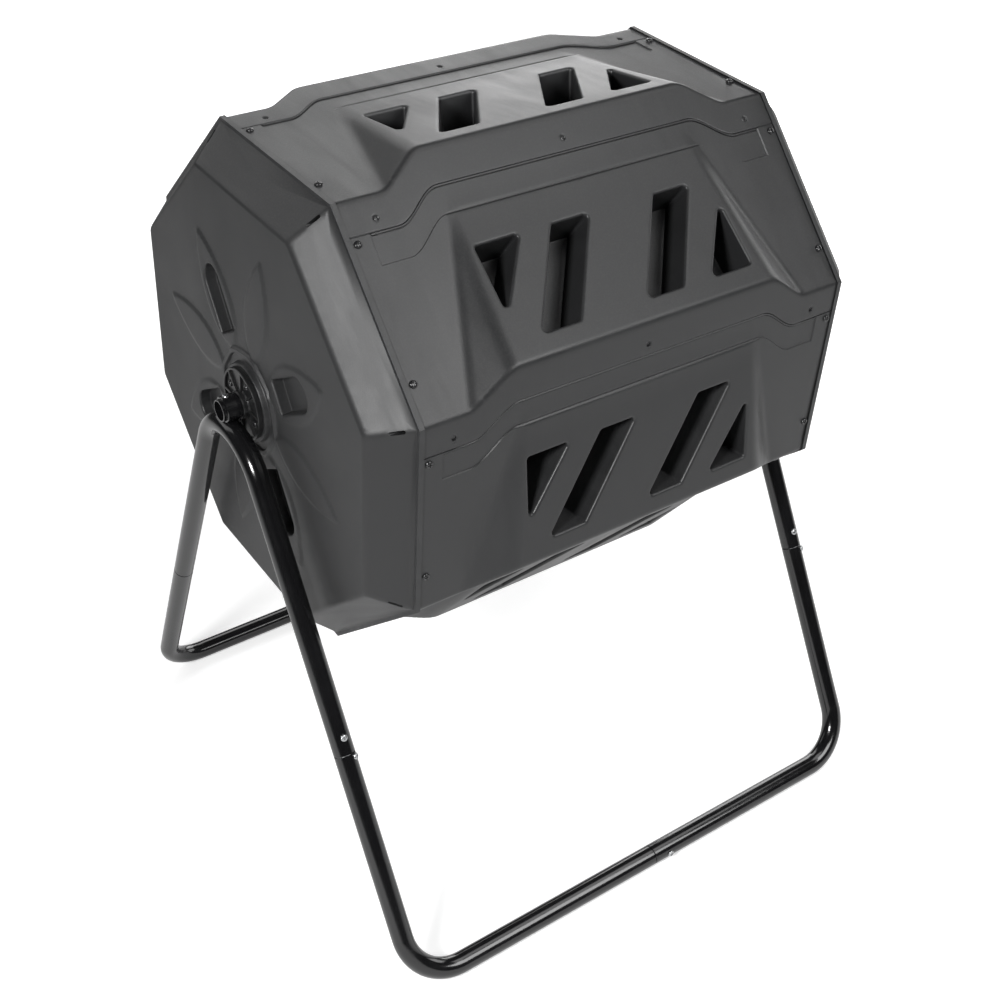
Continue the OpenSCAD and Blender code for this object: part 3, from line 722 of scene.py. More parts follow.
class Panel:
    """The moulded shape of one face, in that face's frame, in metres."""

    def __init__(self, drum, door):
        self.d = drum
        self.door = door
        self.half = panel_half - drum.end_gap / 2
        self.top = drum.apothem * math.tan(STEP / 2)
        self.foot = DOOR_FOOT - self.top if door else self.top - drum.foot_lap
        self.crest_y = drum.crest - self.top
        self.rise = drum.crest / (self.foot - self.crest_y)
        self.tilt = math.atan(self.rise)
        full_foot = self.top - drum.foot_lap
        end_half = self.half - drum.wedge_margin
        share = (full_foot - self.foot) / (full_foot + self.top)
        foot_half = drum.foot_half + (end_half - drum.foot_half) * share
        a, b = Vector((foot_half, self.foot, 0)), Vector((end_half, -self.top, 0))
        c = Vector((drum.crest_half, self.crest_y, drum.crest))
        self.side_normal, self.side_point = (c - a).cross(b - a), b

    def height(self, x, y):
        n, b = self.side_normal, self.side_point
        side = b.z - (n.x * (np.abs(x) - b.x) + n.y * (y - b.y)) / n.z
        wedge = smooth_min(self.rise * (self.foot - y), side, self.d.ridge)
        body = smooth_max(0 * x, wedge, 0.0040)
        soft = self.d.seam + 0.002 * np.clip(body / self.d.crest, 0, 1)
        return smooth_min(body, y + self.top, soft)

    def lap(self, x):
        return self.d.lap_mid + (self.d.lap_end - self.d.lap_mid) * ease(
            (abs(x) - WAVE_IN) / (WAVE_OUT - WAVE_IN))

    def wave(self, reach, y_of, steps=14):
        """Points from -reach to reach along y_of, close together on the curves."""
        bend = [WAVE_IN + (WAVE_OUT - WAVE_IN) * i / steps for i in range(steps + 1)]
        xs = [-reach] + [-x for x in reversed(bend)] + bend + [reach]
        return [(x, y_of(x)) for x in xs]

    def outline(self):
        low = self.wave(self.half, lambda x: -self.top - self.lap(x) * SLANT)
        y, up = self.top - 0.002, self.top + TONGUE_REACH
        return low + [(self.half, y), (TONGUE_HALF, y), (TONGUE_HALF, up),
                      (-TONGUE_HALF, up), (-TONGUE_HALF, y), (-self.half, y)]

    def under(self, line):
        """The polygon between a line and the hidden upper edge."""
        return line + [(self.half, self.top + 0.03), (-self.half, self.top + 0.03)]

    def ends(self, sheet):
        """The rounded edges at the panel's two ends, on the part that shows."""
        low = -self.top - (self.d.lap_end - 0.0012) * SLANT
        high = self.top - self.d.lap_end - GAP - 0.0012
        for side in (-1, 1):
            for back, drop in ((0.35, 0.35), (1.0, 0.0)):
                x = side * (self.half - self.d.edge * back)
                sheet.line([(x, low), (x, -self.top), (x, high)], self.d.edge * drop)

    def rebate(self, sheet):
        """The stepped band that the panel before it laps over."""
        top, deep, band = self.top, FLANGE_T, 0.0012
        under_flange = self.wave(self.half, lambda x: top - self.lap(x) - GAP)
        sheet.line(under_flange, deep)
        if self.door:
            lip = [(x, y - 0.0004) for x, y in under_flange]
            sheet.line(lip, 0.0)
            sheet.level(self.under(under_flange), deep)
            return
        end_y = top - self.d.lap_end - GAP
        low_y = top - self.d.rebate_end

        def edge_y(x):
            return self.foot + (low_y - self.foot) * ease((abs(x) - WAVE_IN) / (WAVE_OUT - WAVE_IN))

        sheet.line([(-self.half, end_y - 0.0005), (-REBATE_HALF, end_y - 0.0005)]
                   + self.wave(REBATE_HALF, edge_y)
                   + [(REBATE_HALF, end_y - 0.0005), (self.half, end_y - 0.0005)], 0.0)

        def inner(reach, y_of, drop, rise=0.0008):
            body = self.wave(reach, y_of)
            ends = [(-reach, end_y), (-reach, end_y - rise)]
            points = ends + body + [(reach, end_y - rise), (reach, end_y)]
            sheet.line(points, [deep] + [drop] * (len(points) - 2) + [deep])
            return points

        edge = inner(REBATE_HALF - 0.0008, lambda x: edge_y(x) + 0.0008, band)
        sheet.level(self.under(edge), band)
        for out, drop in ((0.0034, band), (0.0030, 0.0019), (0.0025, 0.0019), (0.0023, 0.0004),
                          (0.0017, 0.0), (0.0007, 0.0), (0.0002, 0.0005)):
            inner(REBATE_HALF - 0.0026, lambda x: top - self.lap(x) - GAP - out, drop, out * 0.2)
        sheet.level(self.under(under_flange), deep)

    def pocket_corners(self):
        """The slanted and the three-sided pockets on the plateau, with their rounding."""
        y0, y1 = self.crest_y + 0.024, self.foot - 0.0395
        self.pocket_mid = (y0 + y1) / 2
        h = (y1 - y0) / 2 / math.cos(self.tilt)
        slot = list(zip(SLOT_X, (h, -h, -h, h)))
        three = [(TRIANGLE_X[0], h), (TRIANGLE_X[0], h - TRIANGLE_H), (TRIANGLE_X[1], h)]
        corners = [(slot, SLOT_ROUND), (three, TRIANGLE_ROUND)]
        return corners + [([(-x, -y) for x, y in ring], soft) for ring, soft in corners]

    def pockets(self, sheet):
        depth, draft = self.d.pocket_depth - 0.001, 0.0030
        squash = math.cos(self.tilt)
        for corners, radius in self.pocket_corners():
            steps = [*POCKET_LIP, (-draft, depth - 0.0024), (-draft - 0.0007, depth - 0.0007),
                     (-draft - 0.0022, depth)]
            rings = []
            for grow, sink in steps:
                ring = rounded(corners, grow, radius)
                ring = [(x, self.pocket_mid + y * squash) for x, y in ring]
                sheet.line(ring, 0.0, sink, closed=True)
                rings.append(ring)
            sheet.keep_off.append((rings[0], rings[-1]))
            sheet.level(rings[-1], 0.0, depth)

    def dimples(self, sheet):
        """Countersinks for the seam screws, on the flange."""
        end = self.half + self.d.end_gap / 2 - SEAM_END
        for x, below in ((-end, SEAM_BELOW), (end, SEAM_BELOW), (0.0, -MIDDLE_ABOVE)):
            y = -self.top - below * SLANT
            rings = [(0.0060, 0.0), (0.0042, 0.0), (0.0034, 0.0004), (0.0028, 0.0014), (0.0026, 0.0028)]
            outlines = [circle(x, y, r, SLANT) for r, _ in rings]
            for ring, (_, drop) in zip(outlines, rings):
                sheet.line(ring, drop, 0.0, closed=True)
            sheet.keep_off.append((outlines[0], outlines[-1]))
            sheet.level(outlines[-1], 0.0028)

    def openings(self):
        """The two door openings, as corners."""
        low, high = door_bay(self.d)
        middle, half_h = (high + low) / 2, (high - low) / 2 - OPENING_MARGIN
        for side in SIDE_NAMES:
            x, half_w = door_centre(side), DOOR_W / 2 - OPENING_MARGIN
            yield [(x - half_w, middle - half_h), (x + half_w, middle - half_h),
                   (x + half_w, middle + half_h), (x - half_w, middle + half_h)]

    def build(self):
        """The panel's outer surface, in the face's frame."""
        outline = self.outline()
        sheet = Sheet(outline, self.height)
        edge_drops = [self.d.edge] + [0.0004] * (len(outline) - 8) + [self.d.edge] + [FLANGE_T] * 6
        sheet.line(outline, edge_drops, 0.0, closed=True)
        lip = self.wave(self.half - 0.0004, lambda x: -self.top - (self.lap(x) - 0.0009) * SLANT)
        sheet.line(lip)
        self.ends(sheet)
        self.rebate(sheet)
        if self.door:
            for corners in self.openings():
                ring = rounded(corners, 0.0, 0.006)
                sheet.line(rounded(corners, 0.0010, 0.006), 0.0, closed=True)
                sheet.line(ring, 0.0006, closed=True)
                sheet.hole(ring)
        else:
            self.pockets(sheet)
        self.dimples(sheet)
        sheet.fill(0.012, 0.0026, 0.006)
        s, c = math.sin(self.tilt), math.cos(self.tilt)

        def place(x, y, z, drop, sink):
            return np.stack([x, y - sink * s, z - drop - sink * c], 1)
        return new_mesh("panel", *sheet.mesh(place))


def face_matrix(drum, k):
    """From a face's frame to the object's."""
    return (Matrix.Translation((0, 0, axle_z)) @ Matrix.Rotation(drum.roll + STEP * k, 4, "X")
            @ Matrix.Translation((0, 0, drum.apothem)))


# ---- Copies on points, by Geometry Nodes ----

def copies_tree():
    tree = bpy.data.node_groups.new("Copies on points", "GeometryNodeTree")
    face = tree.interface
    face.new_socket("Geometry", in_out="INPUT", socket_type="NodeSocketGeometry")
    face.new_socket("Copied piece", in_out="INPUT", socket_type="NodeSocketObject")
    face.new_socket("Size", in_out="INPUT", socket_type="NodeSocketFloat").default_value = 1
    face.new_socket("Finish", in_out="INPUT", socket_type="NodeSocketMaterial")
    face.new_socket("Geometry", in_out="OUTPUT", socket_type="NodeSocketGeometry")
    new, link = tree.nodes.new, tree.links.new
    start, end = new("NodeGroupInput"), new("NodeGroupOutput")
    info = new("GeometryNodeObjectInfo")
    outward = new("GeometryNodeInputNamedAttribute")
    outward.data_type = "FLOAT_VECTOR"
    outward.inputs["Name"].default_value = "outward"
    align = new("FunctionNodeAlignRotationToVector")
    align.axis = "Z"
    place = new("GeometryNodeInstanceOnPoints")
    solid = new("GeometryNodeRealizeInstances")
    paint = new("GeometryNodeSetMaterial")
    link(start.outputs["Copied piece"], info.inputs["Object"])
    link(outward.outputs["Attribute"], align.inputs["Vector"])
    link(start.outputs["Geometry"], place.inputs["Points"])
    link(info.outputs["Geometry"], place.inputs["Instance"])
    link(align.outputs["Rotation"], place.inputs["Rotation"])
    link(start.outputs["Size"], place.inputs["Scale"])
    link(place.outputs["Instances"], solid.inputs["Geometry"])
    link(solid.outputs["Geometry"], paint.inputs["Geometry"])
    link(start.outputs["Finish"], paint.inputs["Material"])
    link(paint.outputs["Geometry"], end.inputs["Geometry"])
    return tree


def copies(name, places, master, size, material):
    """A mesh with a copy of master at each (point, outward direction)."""
    tree = bpy.data.node_groups.get("Copies on points") or copies_tree()
    mesh = bpy.data.meshes.new(name)
    mesh.from_pydata([tuple(p) for p, _ in places], [], [])
    outward = mesh.attributes.new("outward", "FLOAT_VECTOR", "POINT")
    outward.data.foreach_set("vector", [c for _, d in places for c in d])
    obj = linked(name, mesh)
    modifier = obj.modifiers.new("Copies", "NODES")
    modifier.node_group = tree
    wanted = {"Copied piece": master, "Size": size, "Finish": material}
    for item in tree.interface.items_tree:
        if item.in_out == "INPUT" and item.name in wanted:
            modifier[item.identifier] = wanted[item.name]
    return settle(obj)


def screw_master(radius, head, shank):
    """A pan-head screw with a cross recess, its seat at the origin."""
    profile = [(-shank, 0.0), (-shank, 0.0016), (-shank + 0.0006, 0.0020), (0.0, 0.0020),
               (0.0, radius * 0.96), (head * 0.12, radius), (head * 0.55, radius * 0.96),
               (head * 0.82, radius * 0.80), (head * 0.96, radius * 0.52), (head, 0.0)]
    verts, faces = [], []
    segments, n = 24, len(profile)
    for s in range(segments):
        a = math.tau * s / segments
        verts += [(r * math.cos(a), r * math.sin(a), z) for z, r in profile]
    for s in range(segments):
        a, b = s * n, ((s + 1) % segments) * n
        faces += [(a + i, b + i, b + i + 1, a + i + 1) for i in range(n - 1)]
    mesh = new_mesh("screw", verts, faces)
    tidy(mesh)
    arm, slot = radius * 0.62, radius * 0.13
    bars = [bevelled_box((-arm, -slot, head * 0.45), (arm, slot, head * 1.4), slot * 0.3, 1),
            bevelled_box((-slot, -arm, head * 0.46), (slot, arm, head * 1.5), slot * 0.3, 1)]
    body, cross = linked("screw", mesh), linked("cross", join("cross", bars))
    cut = body.modifiers.new("Recess", "BOOLEAN")
    cut.object, cut.operation, cut.solver, cut.use_self = cross, "DIFFERENCE", "EXACT", True
    done = settle(body)
    bpy.data.objects.remove(cross)
    done.shade_smooth()
    done.set_sharp_from_angle(angle=math.radians(40))
    return linked("screw master", done)


def screws(name, places, radius, head, shank, material, body, slot, *nodes):
    master = screw_master(radius, head, shank)
    mesh = copies(name, places, master, 1.0, material)
    bpy.data.objects.remove(master)
    return piece(name, mesh, material, body, slot, *nodes, sharp=40)


# ---- Tubes ----

def bent_path(start, corner, end, radius, steps=28):
    """Points from start round a corner to end."""
    a, b = (start - corner).normalized(), (end - corner).normalized()
    turn = math.pi - a.angle(b)
    reach = radius * math.tan(turn / 2)
    centre = corner + (a + b).normalized() * radius / math.cos(turn / 2)
    out, u = [start], (corner + a * reach - centre).normalized()
    v = -a
    for i in range(steps + 1):
        angle = turn * i / steps
        out.append(centre + (u * math.cos(angle) + v * math.sin(angle)) * radius)
    return out + [end]


def tube(path, radius, wall, chamfer=0.0005, segments=40):
    """A hollow tube along a path, with softened ends."""
    stations = []
    first, last = (path[1] - path[0]).normalized(), (path[-1] - path[-2]).normalized()
    bore = radius - wall
    stations.append((path[0], first, bore, radius - chamfer))
    stations.append((path[0] + first * chamfer, first, bore, radius))
    for i in range(1, len(path) - 1):
        d = ((path[i + 1] - path[i]).normalized() + (path[i] - path[i - 1]).normalized()).normalized()
        stations.append((path[i], d, bore, radius))
    stations.append((path[-1] - last * chamfer, last, bore, radius))
    stations.append((path[-1], last, bore, radius - chamfer))
    normal = first.orthogonal().normalized()
    verts, faces = [], []
    for point, d, inner, outer in stations:
        normal = (normal - d * normal.dot(d)).normalized()
        side = d.cross(normal)
        for r in (outer, inner):
            for s in range(segments):
                a = math.tau * s / segments
                verts.append(point + (normal * math.cos(a) + side * math.sin(a)) * r)
    rings = len(stations)
    for i in range(rings - 1):
        for s in range(segments):
            t = (s + 1) % segments
            a, b = i * 2 * segments, (i + 1) * 2 * segments
            faces.append((a + s, a + t, b + t, b + s))
            faces.append((a + segments + t, a + segments + s, b + segments + s, b + segments + t))
    for a, flip in ((0, False), ((rings - 1) * 2 * segments, True)):
        for s in range(segments):
            t = (s + 1) % segments
            quad = (a + t, a + s, a + segments + s, a + segments + t)
            faces.append(quad[::-1] if flip else quad)
    mesh = new_mesh("tube", verts, faces)
    tidy(mesh)
    return mesh


AXLE_R = 0.0127
SLEEVE_R = 0.0153
SADDLE = 0.003


class Stand:
    """Where the stand's tubes run."""

    def __init__(self, sizes):
        self.s = sizes

    def apex(self, side):
        return Vector((side * leg_x, 0, self.s.meet))

    def corner(self, side, end):
        return Vector((side * (leg_x - self.s.lean), end * self.s.bar, self.s.tube))

    def leg(self, side, end):
        return (self.corner(side, end) - self.apex(side)).normalized()

    def on_leg(self, side, end, along):
        return self.apex(side) + self.leg(side, end) * along

    def apex_bend(self):
        seat = axle_z - SLEEVE_R - self.s.tube + SADDLE
        half = math.atan(self.s.bar / (self.s.meet - self.s.tube))
        return (self.s.meet - seat) / (1 / math.sin(half) - 1)

    def leg_screws(self, side, end):
        """Places of a leg's two joint screws."""
        d = self.leg(side, end)
        across = (d.cross(Vector((0, 0, 1))) * -end).normalized()
        out = d.cross(across) * end
        for along, turn in ((-0.021, 0.0), (0.005, math.radians(37))):
            face = out * math.cos(turn) - across * math.sin(turn)
            yield self.on_leg(side, end, self.s.leg_joint + along) + face * self.s.tube, face


# ---- Operators ----

class TUMBLER_OT_panels(bpy.types.Operator):
    """Make the seven mixing panels"""
    bl_idname = "tumbler.panels"
    bl_label = "Mixing panels"

    def execute(self, context):
        drum = context.scene.tumbler_drum
        shell = thicken(Panel(drum, False).build(), drum.wall)
        for k, name in enumerate(PANELS):
            mesh = shell.copy()
            mesh.transform(face_matrix(drum, k))
            piece(f"mixing_panel_{name}", mesh, finish("panel"), "drum", "panel_plastic",
                  f"panel_{name}")
        return {"FINISHED"}


RAIL_END = 0.018
RAIL_WALL, RAIL_LIP = 0.0035, 0.005
RAIL_TALL, RAIL_COVER = 0.004, 0.0025
SHY = 0.0002


class TUMBLER_OT_door_panel(bpy.types.Operator):
    """Make the panel that carries the doors, with its rails"""
    bl_idname = "tumbler.door_panel"
    bl_label = "Door panel"

    def execute(self, context):
        drum = context.scene.tumbler_drum
        shell = thicken(Panel(drum, True).build(), drum.wall)
        mesh = join("door panel", [shell, fuse(self.rails(drum))])
        mesh.transform(face_matrix(drum, DOOR_FACE))
        piece("door_panel_moulding", mesh, finish("panel"), "drum", "panel_plastic", "door_panel")
        return {"FINISHED"}

    def rails(self, drum):
        """The rails' walls and lips, their end stops, and the bar between the doors.

        SHY keeps faces that would meet exactly a hair apart, so that they fuse cleanly.
        """
        end, over = panel_half - RAIL_END, RAIL_TALL + RAIL_COVER
        low, high = rail_bay(drum)
        parts = []
        for y, s in ((high, 1), (low, -1)):
            inner, reach = y - s * RAIL_WALL, y - s * (RAIL_WALL + RAIL_LIP)
            near, stop = y - s * SHY - s * SHY, reach + s * SHY
            back = y - s * SHY
            parts.append(bevelled_box((-end, min(y, inner), -0.0005), (end, max(y, inner), over), 0.0005))
            parts.append(bevelled_box((SHY - end, min(back, reach), RAIL_TALL),
                                      (end - SHY, max(back, reach), over - SHY), 0.0007))
            for t in SIDE_NAMES:
                xs = sorted((t * (end - SHY * 2), t * (end - RAIL_WALL)))
                parts.append(bevelled_box((xs[0], min(near, stop), SHY - 0.0005),
                                          (xs[1], max(near, stop), over - SHY * 2), 0.0006))
        parts.append(bevelled_box((-0.004, low + 0.0011, -0.0006),
                                  (0.004, high - 0.0011, RAIL_TALL + 0.0001), 0.0006))
        return parts


DOOR_BACK, DOOR_T = 0.0005, 0.003
GRIP_HALF_W, GRIP_HALF_L = 0.0062, 0.034
GRIP_FOOT, GRIP_H = 0.0020, 0.0136
RIB_HALF, RIB_INSET = 0.0012, 0.012


class TUMBLER_OT_doors(bpy.types.Operator):
    """Make the two sliding doors with their grips"""
    bl_idname = "tumbler.doors"
    bl_label = "Sliding doors"

    def execute(self, context):
        drum = context.scene.tumbler_drum
        low, high = door_bay(drum)
        middle, half_h = (high + low) / 2, (high - low) / 2
        for side, name in SIDE_NAMES.items():
            centre = door_centre(side)
            low_x, high_x = centre - DOOR_W / 2, centre + DOOR_W / 2
            parts = [bevelled_box((low_x, low, DOOR_BACK), (high_x, high, DOOR_BACK + DOOR_T), 0.0008)]
            grip = bevelled_box((centre - GRIP_HALF_W, middle - GRIP_HALF_L, GRIP_FOOT),
                                (centre + GRIP_HALF_W, middle + GRIP_HALF_L, GRIP_FOOT + GRIP_H), 0.0040, 5)
            for v in grip.vertices:
                taper = 1 - 0.35 * np.clip((v.co.z - GRIP_FOOT) / GRIP_H, 0, 1)
                v.co.x = centre + (v.co.x - centre) * taper
            parts.append(grip)
            for row in (-1, 1):
                y = middle + row * half_h * 0.62
                parts.append(bevelled_box((low_x + RIB_INSET, y - RIB_HALF, 0.0024),
                                          (high_x - RIB_INSET, y + RIB_HALF, 0.0040), 0.0003))
            mesh = fuse(parts)
            mesh.transform(face_matrix(drum, DOOR_FACE))
            piece(f"sliding_door_{name}", mesh, finish("door"), f"door_{name}", "door_plastic",
                  f"door_{name}")
        return {"FINISHED"}


RECESS_TURN = math.radians(57)
RECESS_IN, RECESS_OUT, RECESS_HALF = 0.079, 0.137, 0.020
RECESS_DEEP = 0.014
RECESS_STEPS = ((0.0022, 0.0), (0.0009, 0.0003), (0.0, 0.0012), (-0.0005, 0.003),
                (-0.0012, 0.0118), (-0.0018, 0.0132), (-0.0032, RECESS_DEEP))
PETAL_IN, PETAL_OUT = 0.060, 0.197
PETAL_WIDE, PETAL_NARROW = 0.034, 0.026
HUB_SEAT = 0.006
RING_OUT, RING_IN, SEAT_OUT, SEAT_IN = 0.0650, 0.0534, 0.0472, 0.0448
RING_STEPS = ((RING_OUT, 0.0), (0.0634, 0.0), (0.0620, 0.0007), (0.0608, 0.0029), (0.0600, 0.0035),
              (0.0564, 0.0035), (0.0556, 0.0029), (0.0546, 0.0006), (RING_IN, 0.0), (SEAT_OUT, 0.0),
              (0.0464, 0.0012), (0.0456, 0.0052), (SEAT_IN, HUB_SEAT))
CAP_BORE = 0.0163
VENT_RUN, VENT_HALF = 0.0085, 0.002
SKIRT = 0.020


def turned(points, turn):
    """Points given as (outwards, across), turned to their place on an end face."""
    s, c = math.sin(turn), math.cos(turn)
    return [(-s * r + c * t, c * r + s * t) for r, t in points]


def cap_height(drum):
    """Height of a cap over its flat face, from the two distances across it."""
    inner = drum.apothem - drum.cap_inset
    fall = drum.cap_depth / drum.cap_inset

    def height(u, v):
        h = 0 * u + 0.0
        for k in range(SIDES):
            a = k * STEP
            across = -math.sin(a) * u + math.cos(a) * v
            h = smooth_min(h, -(across - inner) * fall, 0.0036)
        angle, r = np.arctan2(-u, v), np.hypot(u, v)
        turn = (angle - RECESS_TURN + STEP / 2) % STEP - STEP / 2
        near_slot = np.abs((angle - RECESS_TURN + STEP) % (2 * STEP) - STEP) < STEP / 2
        t = np.clip((r - PETAL_IN) / (PETAL_OUT - PETAL_IN), 0, 1)
        width = np.where(near_slot, PETAL_WIDE, PETAL_NARROW) * np.sin(np.pi * t ** 0.85) ** 0.8
        petal = ease((width - np.abs(turn) * r) / 0.007 + 0.3) * np.where((t > 0) & (t < 1), 1, 0)
        return h + drum.relief * petal
    return height


def recess_ring(turn, grow):
    """The outline of a round-ended recess, moved out by grow."""
    start, half = RECESS_IN - grow, RECESS_HALF + grow
    soft = max(0.003 + grow, 0.0006)
    quarter = np.linspace(0, math.pi / 2, 6)
    shape = [(start + soft - soft * math.cos(b), -half + soft - soft * math.sin(b)) for b in quarter]
    shape += [(RECESS_OUT + half * math.sin(b), -half * math.cos(b)) for b in np.linspace(0, math.pi, 22)]
    shape += [(start + soft - soft * math.cos(b), half - soft + soft * math.sin(b))
              for b in np.linspace(math.pi / 2, 0, 6)]
    return turned(shape, turn)


class TUMBLER_OT_end_caps(bpy.types.Operator):
    """Make the two bevelled end caps with their recesses, vents and rings"""
    bl_idname = "tumbler.end_caps"
    bl_label = "End caps"

    def execute(self, context):
        drum = context.scene.tumbler_drum
        height = cap_height(drum)
        far = drum.apothem / math.cos(STEP / 2)
        corner = [STEP * (k + 0.5) for k in range(SIDES)]
        rim = [(-far * math.sin(a), far * math.cos(a)) for a in corner]
        sheet = Sheet(rim, height)
        sheet.line(rim, drum.end_gap / 2 - drum.edge * 0.2, closed=True)
        for back, drop in ((0.0003, 0.0), (0.0015, 0.0), (0.0018, 0.0012), (0.0022, 0.0012), (0.0026, 0.0)):
            inner = (far - back) / far
            sheet.line([(u * inner, v * inner) for u, v in rim], drop, closed=True)
        self.recesses(sheet)
        self.ring(sheet, drum.lobes)
        self.vents(sheet, drum, far, corner)
        sheet.fill(0.012, 0.0028, 0.006)
        cap_x = panel_half + drum.cap_depth

        def place(u, v, z, drop, sink):
            return np.stack([cap_x + z - drop, u, v], 1)
        cap = self.with_skirt(new_mesh("cap", *sheet.mesh(place)), drum)
        cap.transform(Matrix.Translation((0, 0, axle_z)) @ Matrix.Rotation(drum.roll, 4, "X"))
        for side, name in SIDE_NAMES.items():
            piece(f"bevelled_cap_{name}", on_side(cap, side), finish("cap"), "drum", "cap_plastic",
                  f"end_cap_{name}")
        return {"FINISHED"}

    def recesses(self, sheet):
        for k in range(4):
            rings = [recess_ring(RECESS_TURN + k * math.pi / 2, grow) for grow, _ in RECESS_STEPS]
            for ring, (_, drop) in zip(rings, RECESS_STEPS):
                sheet.line(ring, drop, closed=True)
            sheet.keep_off.append((rings[0], rings[-1]))
            sheet.level(rings[-1], RECESS_DEEP)

    def ring(self, sheet, lobes):
        """The lobed ring, the hub's seat inside it, and the bore."""
        for radius, rise in RING_STEPS:
            sheet.line(self.lobed(radius, lobes if radius > 0.054 else 0.0), -rise, closed=True)
        seat_out, seat_in = circle(0, 0, SEAT_OUT, steps=72), circle(0, 0, SEAT_IN, steps=72)
        sheet.keep_off.append((self.lobed(RING_OUT, lobes), circle(0, 0, RING_IN, steps=72)))
        sheet.keep_off.append((seat_out, seat_in))
        sheet.level(seat_in, -HUB_SEAT)
        bore = circle(0, 0, CAP_BORE, steps=48)
        sheet.line(bore, -HUB_SEAT, closed=True)
        sheet.hole(bore)

    def vents(self, sheet, drum, far, corner):
        """A short slot through each ridge between two bevels."""
        ridge = drum.cap_inset / math.cos(STEP / 2)
        middle = far - ridge * 0.43
        half_run = VENT_RUN * ridge / math.hypot(ridge, drum.cap_depth)
        box = [(middle - half_run, -VENT_HALF), (middle + half_run, -VENT_HALF),
               (middle + half_run, VENT_HALF), (middle - half_run, VENT_HALF)]
        for a in corner:
            vent = turned(rounded(box, 0, 0.0015, 4), a)
            sheet.line(vent, 0.0, closed=True)
            sheet.hole(vent)

    def lobed(self, radius, lobe):
        """A circle whose radius swells by lobe eight times round, between the petals."""
        angles = [math.tau * i / 72 for i in range(72)]
        radii = [radius + lobe * math.cos(8 * (a - RECESS_TURN)) for a in angles]
        return [(-r * math.sin(a), r * math.cos(a)) for r, a in zip(radii, angles)]

    def with_skirt(self, sheet, drum):
        """Adds the rim's turn and the skirt that slips inside the panels, then the wall."""
        bm = bmesh.new()
        bm.from_mesh(sheet)
        reach = drum.apothem * 0.999
        rim = [e for e in bm.edges if e.is_boundary and min(
            math.hypot(v.co.y, v.co.z) for v in e.verts) > reach]
        inner = drum.apothem - 2 * drum.wall
        for scale, x in ((0.9985, panel_half + 0.0004), (inner / drum.apothem / 0.9985, panel_half + 0.0003),
                         (1.0, panel_half - SKIRT)):
            made = bmesh.ops.extrude_edge_only(bm, edges=rim)["geom"]
            for v in (g for g in made if isinstance(g, bmesh.types.BMVert)):
                v.co = Vector((x, v.co.y * scale, v.co.z * scale))
            rim = [g for g in made if isinstance(g, bmesh.types.BMEdge)]
        bmesh.ops.recalc_face_normals(bm, faces=bm.faces)
        mesh = baked(bm, "cap")
        if sum(p.normal.x * p.area for p in mesh.polygons) < 0:
            mesh.flip_normals()
        return thicken(mesh, drum.wall * 0.95)


HUB_RIM, HUB_SLEEVE, HUB_BORE = 0.0420, 0.0160, 0.01278
HUB_BOSS, HUB_REACH = 0.0095, 0.028
SPOKE_AT = 0.0278


class TUMBLER_OT_hubs(bpy.types.Operator):
    """Make the ribbed hubs that turn on the axle"""
    bl_idname = "tumbler.hubs"
    bl_label = "Hubs"

    def execute(self, context):
        drum = context.scene.tumbler_drum
        seat = panel_half + drum.cap_depth + HUB_SEAT
        boss, bore, sleeve, rim = seat + HUB_BOSS, HUB_BORE, HUB_SLEEVE, HUB_RIM
        profile = [(seat, rim - 0.0006), (seat + 0.0006, rim), (seat + 0.0053, rim),
                   (seat + 0.0060, rim - 0.0007), (seat + 0.0060, rim - 0.0024),
                   (seat + 0.0054, rim - 0.0030), (seat + 0.0030, rim - 0.0032),
                   (seat + 0.0030, sleeve + 0.0018), (seat + 0.0046, sleeve + 0.0004),
                   (boss - 0.0008, sleeve), (boss, sleeve - 0.0008), (boss, bore + 0.0006),
                   (boss - 0.0006, bore), (seat - HUB_REACH, bore), (seat - HUB_REACH, sleeve),
                   (seat, sleeve)]
        parts = [lathe(profile)]
        rib = bevelled_box((-0.0014, -0.0125, 0.0), (0.0014, 0.0125, 0.0029), 0.0005)
        lie = Matrix.Rotation(math.pi / 2, 4, "Y") @ Matrix.Rotation(math.pi / 2, 4, "Z")
        for k in range(SIDES):
            spoke = rib.copy()
            spoke.transform(Matrix.Rotation(STEP * k, 4, "X")
                            @ Matrix.Translation((seat + 0.0028, 0, SPOKE_AT)) @ lie)
            parts.append(spoke)
        hub = fuse(parts)
        hub.transform(Matrix.Translation((0, 0, axle_z)) @ Matrix.Rotation(drum.roll, 4, "X"))
        for side, name in SIDE_NAMES.items():
            piece(f"ribbed_hub_{name}", on_side(hub, side), finish("hub"), "drum", "hub_plastic",
                  f"hub_{name}")
        return {"FINISHED"}


class TUMBLER_OT_divider(bpy.types.Operator):
    """Tidy the plate between the chambers: merge its doubles and dissolve its flat seams"""
    bl_idname = "tumbler.divider"
    bl_label = "Divider"

    def execute(self, context):
        bm = bmesh.new()
        bm.from_mesh(frame["nodes"]["divider"].data)
        bmesh.ops.remove_doubles(bm, verts=bm.verts, dist=0.00001)
        bmesh.ops.dissolve_limit(bm, angle_limit=math.radians(1), verts=bm.verts, edges=bm.edges)
        mesh = baked(bm, "divider")
        piece("divider_plate", mesh, finish("divider"), "drum", "divider_plastic", "divider")
        return {"FINISHED"}


JOINT_GAP = 0.0003
SPIGOT_IN, SPIGOT_OUT = 0.012, 0.045
AXLE_PAST = 0.010


